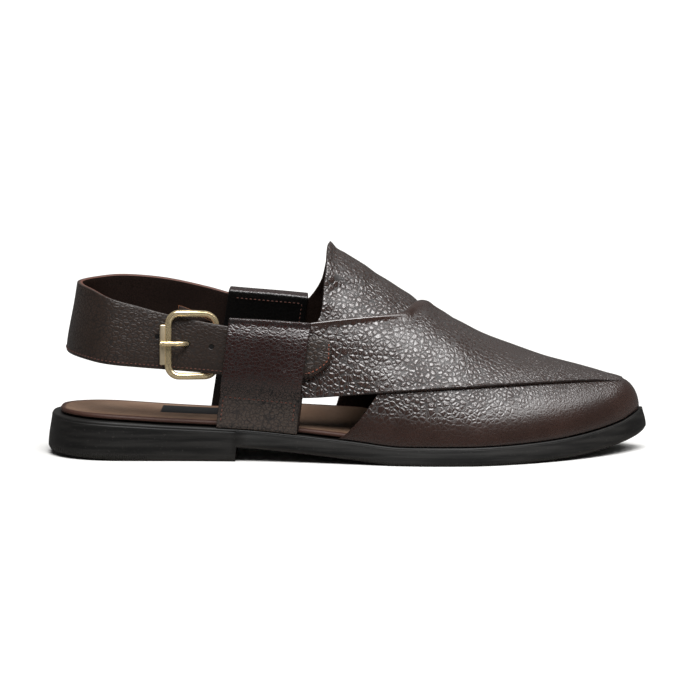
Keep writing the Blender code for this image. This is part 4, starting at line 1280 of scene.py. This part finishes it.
def strap_span(run):
    """Lower and upper edge of the strap, drawn together at its rounded tip."""
    low, high = strap_levels(run)
    reach = (run - run_at(STRAP_TIP, -1)) * 0.5 * SOLE_LENGTH
    tip = max(1 - reach / (2 * STRAP_TIP_RADIUS), 0.0)
    upper_tip = max(1 - reach / (0.4 * STRAP_TIP_RADIUS), 0.0)
    middle = lerp(low, high, 0.68)
    low = lerp(middle - 0.001, low, math.sqrt(max(1 - tip**2, 0.0)))
    return low, lerp(high, lerp(middle, high, 0.6), upper_tip**2)


def strap_point(share, rise, deep):
    run = strap_run(share)
    low, high = strap_span(run)
    level = lerp(low, high, rise)
    pillow = 0.0003 * (1 - (2 * rise - 1) ** 6)
    seam = 0.0003 * hump(level - low, 0.0016, 0.0005)
    if deep > 0.5:
        return wall_offset(run, level, STRAP_INNER)
    return wall_offset(run, level, STRAP_INNER + STRAP_THICKNESS - 0.0003 + pillow - seam)


print("strap at the back of the heel:", [round(level * 1000, 1) for level in strap_levels(0)], "mm")


# %% Strap leather with punched holes
HOLES = [(0.278, 0.0558, 0.0012), (0.189, 0.0607, 0.0012), (PRONG_PLACE, PRONG_HEIGHT, 0.0019)]
HOLE_RIM = 0.00025


def punch_holes(material):
    """Paints round holes near black as painted shade and sinks them, in a copy of a leather, on its outer
    side.
    """
    made = material.copy()
    made.name = "strap_leather_with_holes"
    tree = made.node_tree
    shader = tree.nodes["Principled BSDF"]
    spot, mask = object_spot(tree), None
    for at, level, radius in HOLES:
        values = {0: spot, 1: tuple(near_wall(at, level, STRAP_INNER + STRAP_THICKNESS))}
        apart = put(tree, "ShaderNodeVectorMath", values, operation="DISTANCE").outputs["Value"]
        hole = ranged(tree, apart, radius - HOLE_RIM, radius + HOLE_RIM, 1.0, 0.0)
        mask = hole if mask is None else maths(tree, "MAXIMUM", mask, hole)
    colour = shader.inputs["Base Color"].links[0].from_socket
    # Painted shade: the holes are coloured near black.
    tree.links.new(blend(tree, mask, colour, (0.001, 0.0008, 0.0007)), shader.inputs["Base Color"])
    bump = shader.inputs["Normal"].links[0].from_node
    height = bump.inputs["Height"].links[0].from_socket
    sunk = maths(tree, "SUBTRACT", height, maths(tree, "MULTIPLY", mask, 3.0))
    tree.links.new(sunk, bump.inputs["Height"])
    rough = shader.inputs["Roughness"].links[0].from_socket
    tree.links.new(maths(tree, "MAXIMUM", rough, mask), shader.inputs["Roughness"])
    return made


PUNCHED_LEATHER = punch_holes(STRAP_LEATHER)


def make_heel_strap():
    work = flat_sheet(230, 14)
    lay_on(work, strap_point)
    round_cut_edges(work, 0.0005, 3)
    finishes = [PUNCHED_LEATHER, LINING, STRAP_EDGE]
    return hand_over(work, "buckled_heel_strap", finishes, ["heel_strap"])


make_heel_strap()


# %% Backing tab behind the buckle
def guard_point(share, rise, deep):
    at = lerp(0.222, WING_END - 0.006, share)
    low = STRAP.read("near_low", at) * ANKLE_HEIGHT + 0.004
    top = lerp(0.0765, 0.0660, smooth(at, 0.215, 0.305))
    bar = STRAP_INNER - 2 * GAP - BUCKLE_WIRE
    depth = lerp(bar - GAP, LEATHER - LAP, smooth(at, BUCKLE_RIGHT + 0.003, LOOPS[-1]["rear"] - 0.001))
    return near_wall(at, lerp(low, top, rise), depth - LEATHER * deep)


def make_backing():
    work = flat_sheet(50, 16)
    lay_on(work, guard_point)
    round_cut_edges(work, 0.0004)
    return hand_over(work, "buckle_backing", [LINING, LINING, RAW_EDGE], ["buckle_strap"])


make_backing()

# %% [markdown]
# ## Buckle
# A bent wire frame, a flattened roller on its rear side and a prong. A round wire
# is a flat grid rolled round a path: x runs along it, y runs round it.


# %% Wires
def path_frames(centres, closed=False):
    count, frames, across = len(centres), [], None
    for i, centre in enumerate(centres):
        ahead = centres[(i + 1) % count] if closed or i + 1 < count else centre
        behind = centres[i - 1] if closed or i > 0 else centre
        along = (ahead - behind).normalized()
        if across is None:
            across = along.cross(Vector((0.31, 0.87, 0.38))).normalized()
        across = (across - along * across.dot(along)).normalized()
        frames.append((across, along.cross(across)))
    return frames


def wire(name, centres, radius, material, stands_for, sides=20, closed=False):
    """Round wire along centres; radius may be a function of the share along it."""
    count = len(centres) if closed else len(centres) - 1
    frames = path_frames(centres, closed)
    size = radius if callable(radius) else (lambda share: radius)
    work = bmesh.new()
    bmesh.ops.create_grid(work, x_segments=count, y_segments=sides, size=0.5)
    bmesh.ops.translate(work, verts=work.verts, vec=(0.5, 0.5, 0.0))

    def around(share, turn, deep):
        k = round(share * count) % len(centres)
        across, up = frames[k]
        angle = 2 * math.pi * turn
        return centres[k] + (across * math.cos(angle) + up * math.sin(angle)) * size(share)

    lay_on(work, around)
    return hand_over(work, name, [material], stands_for)


def frame_path(steps, runs):
    """Rounded rectangle of the buckle's frame, as (place, level) pairs."""
    centres = []
    corners = (
        (BUCKLE_LEFT, BUCKLE_BOTTOM, math.pi),
        (BUCKLE_RIGHT, BUCKLE_BOTTOM, 1.5 * math.pi),
        (BUCKLE_RIGHT, BUCKLE_TOP, 0.0),
        (BUCKLE_LEFT, BUCKLE_TOP, 0.5 * math.pi),
    )
    for k, (at, level, start) in enumerate(corners):
        inward_x, inward_z = (1 if k in (0, 3) else -1), (1 if k in (0, 1) else -1)
        middle_at = at + inward_x * BUCKLE_CORNER / SOLE_LENGTH
        middle_level = level + inward_z * BUCKLE_CORNER
        for step in range(steps + 1):
            angle = start + 0.5 * math.pi * step / steps
            centres.append((
                middle_at + BUCKLE_CORNER * math.cos(angle) / SOLE_LENGTH,
                middle_level + BUCKLE_CORNER * math.sin(angle),
            ))
        ahead_at, ahead_level = corners[(k + 1) % 4][:2]
        last_at, last_level = centres[-1]
        span_at, span_level = ahead_at - at, ahead_level - level
        inset = 2 * BUCKLE_CORNER
        run_along = math.copysign(max(abs(span_at) - inset / SOLE_LENGTH, 0), span_at) * (k in (0, 2))
        run_up = math.copysign(max(abs(span_level) - inset, 0), span_level) * (k in (1, 3))
        for step in range(1, runs):
            centres.append((last_at + run_along * step / runs, last_level + run_up * step / runs))
    return centres


def buckle_depth(at):
    return lerp(BAR_OUT, BAR_IN, smooth(at, BUCKLE_LEFT + 0.03, BUCKLE_RIGHT))


print("frame's height:", round((BUCKLE_TOP - BUCKLE_BOTTOM) * 1000, 1), "mm between wire centres")


# %% Frame, roller and prong
FRAME_RADIUS = 0.0017
ring_line = [near_wall(at, level, buckle_depth(at)) for at, level in frame_path(9, 14)]
wire("buckle_wire_frame", ring_line, FRAME_RADIUS, PALE_BRASS, ["buckle_frame"], closed=True)
ROLLER_DEPTH, ROLLER_REACH = 0.0026, 0.0005
ROLLER_LOW = BUCKLE_BOTTOM + BUCKLE_CORNER - ROLLER_REACH
ROLLER_HIGH = BUCKLE_TOP - BUCKLE_CORNER + ROLLER_REACH


def make_roller():
    """Flat plate with rounded long edges, set against the rear side of the frame."""
    low = near_wall(ROLLER_PLACE, ROLLER_LOW + GAP, BAR_OUT)
    high = near_wall(ROLLER_PLACE, ROLLER_HIGH - GAP, BAR_OUT)
    along = (high - low).normalized()
    across = Vector((0, 1, 0)).cross(along).normalized()
    facing = along.cross(across)
    work = bmesh.new()
    bmesh.ops.create_cube(work, size=1.0)
    bmesh.ops.scale(work, verts=work.verts, vec=(ROLLER_WIDTH, ROLLER_DEPTH, (high - low).length))
    bmesh.ops.bevel(
        work, geom=work.edges[:], offset=0.0007, offset_type="OFFSET", affect="EDGES",
        segments=4, profile=0.5, material=-1,
    )
    turned = Matrix((across, facing, along)).transposed().to_4x4()
    bmesh.ops.transform(work, matrix=Matrix.Translation((low + high) / 2) @ turned, verts=work.verts)
    return hand_over(work, "buckle_roller_plate", [SATIN_BRASS], ["buckle_roller"])


make_roller()
PRONG_OVER = BAR_OUT + BUCKLE_WIRE / 2 + GAP + PRONG_WIRE / 2
PRONG_UNDER = STRAP_INNER - GAP - PRONG_WIRE / 2
PRONG_STEPS, PRONG_END_STEPS = 90, 4
BAR_SIDE = BUCKLE_RIGHT - (BUCKLE_WIRE + PRONG_WIRE + 2 * GAP) / 2 / SOLE_LENGTH
PRONG_ROUTE = Table(("step", "at", "depth"), [
    (0, BAR_SIDE, PRONG_UNDER),
    (1, 0.250, PRONG_UNDER),
    (2, 0.243, PRONG_UNDER + 0.0006),
    (3, 0.2395, STRAP_INNER + 0.4 * STRAP_THICKNESS),
    (4, 0.2365, STRAP_INNER + 1.1 * STRAP_THICKNESS),
    (5, 0.2320, PRONG_OVER - 0.0012),
    (6, 0.2220, PRONG_OVER),
    (7, 0.2050, PRONG_OVER),
    (8, ROLLER_PLACE, PRONG_OVER - 0.0002),
    (9, 0.1935, PRONG_OVER - 0.0003),
])


def prong_radius(share):
    """Full along the pin, rounded off at both ends and a little thinner towards its point."""
    end = min(share, 1 - share) * PRONG_STEPS / PRONG_END_STEPS
    return PRONG_WIRE / 2 * math.sqrt(max(1 - (1 - min(end, 1.0)) ** 2, 1e-5)) * lerp(1.08, 0.92, share)


prong_line = [
    near_wall(PRONG_ROUTE.read("at", k / 10), PRONG_HEIGHT, PRONG_ROUTE.read("depth", k / 10))
    for k in range(PRONG_STEPS + 1)
]
wire("buckle_pin", prong_line, prong_radius, PALE_BRASS, ["buckle_prong"])

# %% [markdown]
# ## Stitches
# Every stitch is one small ellipsoid of thread, half sunk in its seam. They are
# set at a steady pitch along a seam line and joined into one piece per seam.


# %% Sewing helper
STITCH_LENGTH, STITCH_RISE = 0.34, 0.4


def sew(name, seams, material, pitch=0.0024, radius=0.00033):
    """Seams are lists of (point, outward normal); one mesh holds all their stitches."""
    work = bmesh.new()
    count = 0
    for seam in seams:
        reached, next_stitch = 0.0, pitch / 2
        for (here, normal), (there, _) in zip(seam, seam[1:]):
            step = (there - here).length
            while step > 1e-9 and next_stitch <= reached + step:
                spot = here.lerp(there, (next_stitch - reached) / step)
                along = (there - here).normalized()
                side = normal.cross(along).normalized()
                axes = along * pitch * STITCH_LENGTH, side * radius, along.cross(side) * radius
                shape = Matrix(axes).transposed().to_4x4()
                moved = Matrix.Translation(spot + normal * radius * STITCH_RISE)
                bmesh.ops.create_uvsphere(work, u_segments=7, v_segments=5, radius=1.0, matrix=moved @ shape)
                next_stitch += pitch
                count += 1
            reached += step
    bmesh.ops.recalc_face_normals(work, faces=work.faces)
    print(name, count, "stitches")
    return hand_over(work, name, [material])


def on_surface(point_at, depth, step=0.001):
    """Point at a depth with the normal that leaves the leather; a negative step faces the foot."""
    point = point_at(depth)
    return point, (point_at(depth + step) - point).normalized()


def on_loop(side, share, level):
    depth = loop_outer(side, share, level)
    return on_surface(lambda d: loop_wall(side, share, d, level), depth)


def loop_box(side, rear, front, top_rear, top_front, foot):
    """Seam up one side of a loop, across it and down the other."""
    top = [on_loop(side, lerp(rear, front, k / 16), lerp(top_rear, top_front, k / 16)) for k in range(17)]
    up = [on_loop(side, rear, lerp(foot, top_rear, k / 10)) for k in range(11)]
    down = [on_loop(side, front, lerp(top_front, foot, k / 10)) for k in range(11)]
    return [up, top, down]


print("sewing helpers ready")


# %% Seams of the loops
near_box = loop_box(-1, 0.045, 0.93, 0.0318, 0.0288, 0.0195)
far_box = loop_box(1, 0.07, 0.94, 0.0325, 0.0300, 0.0200)
sew("loop_box_stitches", near_box + far_box, DARK_THREAD, 0.0023, 0.00040)


def on_lining(share, level):
    return on_surface(lambda d: loop_wall(1, share, d, level), -LAP - GAP - LOOP_LINING, -0.001)


lining_line = [on_lining(lerp(0.10, 0.93, k / 16), lerp(0.0755, 0.0725, k / 16)) for k in range(17)]
lining_drop = [on_lining(0.93, lerp(0.0725, 0.030, k / 20)) for k in range(21)]
sew("lining_stitches", [lining_line, lining_drop], DARK_THREAD, 0.0022, 0.00026)


# %% Seams of the strap
TIP_TURN, TIP_REACH, SEAM_INSET = 0.010, 0.075, 0.0016


def on_strap(run, level):
    return on_surface(lambda depth: wall_offset(run, level, depth), STRAP_INNER + STRAP_THICKNESS - 0.0001)


tip_run, end_run = run_at(STRAP_TIP, -1), run_at(STRAP_END, 1)
seam_runs = [lerp(tip_run + TIP_REACH, end_run - 0.02, k / 220) for k in range(221)]
low_seam = [on_strap(run, strap_span(run)[0] + SEAM_INSET) for run in seam_runs]
sew("strap_low_stitches", [low_seam], DARK_THREAD, 0.0021, 0.00024)


def tip_seam():
    """Seam that follows the rounded tip, a thread's width inside its edge."""
    crest = tip_run + TIP_TURN
    low, high = strap_span(crest)
    seam = [on_strap(crest, lerp(high - 0.0014, low + 0.0020, k / 6)) for k in range(7)]
    for k in range(25):
        share = k / 24
        run = crest + TIP_REACH * share**1.7
        seam.append(on_strap(run, strap_span(run)[0] + (0.0014 + 0.0006 * (1 - share))))
    return seam


sew("strap_tip_stitches", [tip_seam()], RUST_THREAD, 0.0021, 0.00036)

# %% [markdown]
# ## Floor and light
# A plain pale floor and three very soft lights, high on the near side, beyond the toe
# and behind, with a bright backdrop behind the shoe that lights its top edges.

# %% Floor
floor_work = bmesh.new()
bmesh.ops.create_grid(floor_work, x_segments=1, y_segments=1, size=60.0)
floor_mesh = bpy.data.meshes.new("studio_floor")
floor_work.to_mesh(floor_mesh)
floor_work.free()
studio_floor = bpy.data.objects.new("studio_floor", floor_mesh)
bpy.context.scene.collection.objects.link(studio_floor)
floor_material, floor_tree, floor_shader = start_material("pale_floor")
floor_ray = put(floor_tree, "ShaderNodeLightPath").outputs["Is Glossy Ray"]
floor_tone = blend(floor_tree, floor_ray, (0.87, 0.865, 0.85), (0.10, 0.098, 0.095))
floor_tree.links.new(floor_tone, floor_shader.inputs["Base Color"])
floor_shader.inputs["Roughness"].default_value = 0.75
floor_mesh.materials.append(floor_material)
studio_floor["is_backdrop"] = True
print(studio_floor.name, "lies at the sole's ground level")


# %% Lights
def soft_sun(name, azimuth, elevation, strength, spread):
    """Sun from a compass angle round the shoe, 0 on the camera's side."""
    data = bpy.data.lights.new(name, "SUN")
    data.energy = strength
    data.angle = math.radians(spread)
    made = bpy.data.objects.new(name, data)
    turn, lift = math.radians(azimuth), math.radians(elevation)
    towards = Vector((math.sin(turn) * math.cos(lift), -math.cos(turn) * math.cos(lift), math.sin(lift)))
    made.rotation_euler = towards.to_track_quat("Z", "Y").to_euler()
    bpy.context.scene.collection.objects.link(made)
    return made


soft_sun("near_softbox", 4, 66, 3.3, 40)
soft_sun("toe_softbox", 62, 60, 1.6, 44)
soft_sun("rear_softbox", 175, 50, 0.12, 60)


def studio_world():
    world = bpy.data.worlds.new("studio_backdrop")
    world.use_nodes = True
    tree = world.node_tree
    tree.nodes.clear()
    direction = put(tree, "ShaderNodeTexCoord").outputs["Generated"]
    part = put(tree, "ShaderNodeSeparateXYZ", {0: direction})
    glow = ranged(tree, part.outputs["Y"], -0.6, 0.95, 0.03, 0.16)
    lit = put(tree, "ShaderNodeBackground", {"Color": (1.0, 0.99, 0.97, 1.0), "Strength": glow})
    seen = put(tree, "ShaderNodeBackground", {"Color": (1.0, 1.0, 1.0, 1.0), "Strength": 1.0})
    ray = put(tree, "ShaderNodeLightPath").outputs["Is Camera Ray"]
    mixed = put(tree, "ShaderNodeMixShader", {0: ray, 1: lit.outputs[0], 2: seen.outputs[0]})
    result = tree.nodes.new("ShaderNodeOutputWorld")
    tree.links.new(mixed.outputs[0], result.inputs["Surface"])
    return world


bpy.context.scene.world = studio_world()

# %% Measure the sizes and finish
sizes = {"cad": [list(corner) for corner in cad_box], "visual": [list(corner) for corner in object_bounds()]}
spans = [round((high - low) * 1000, 1) for low, high in zip(*sizes["visual"])]
print("visual size in mm:", spans)
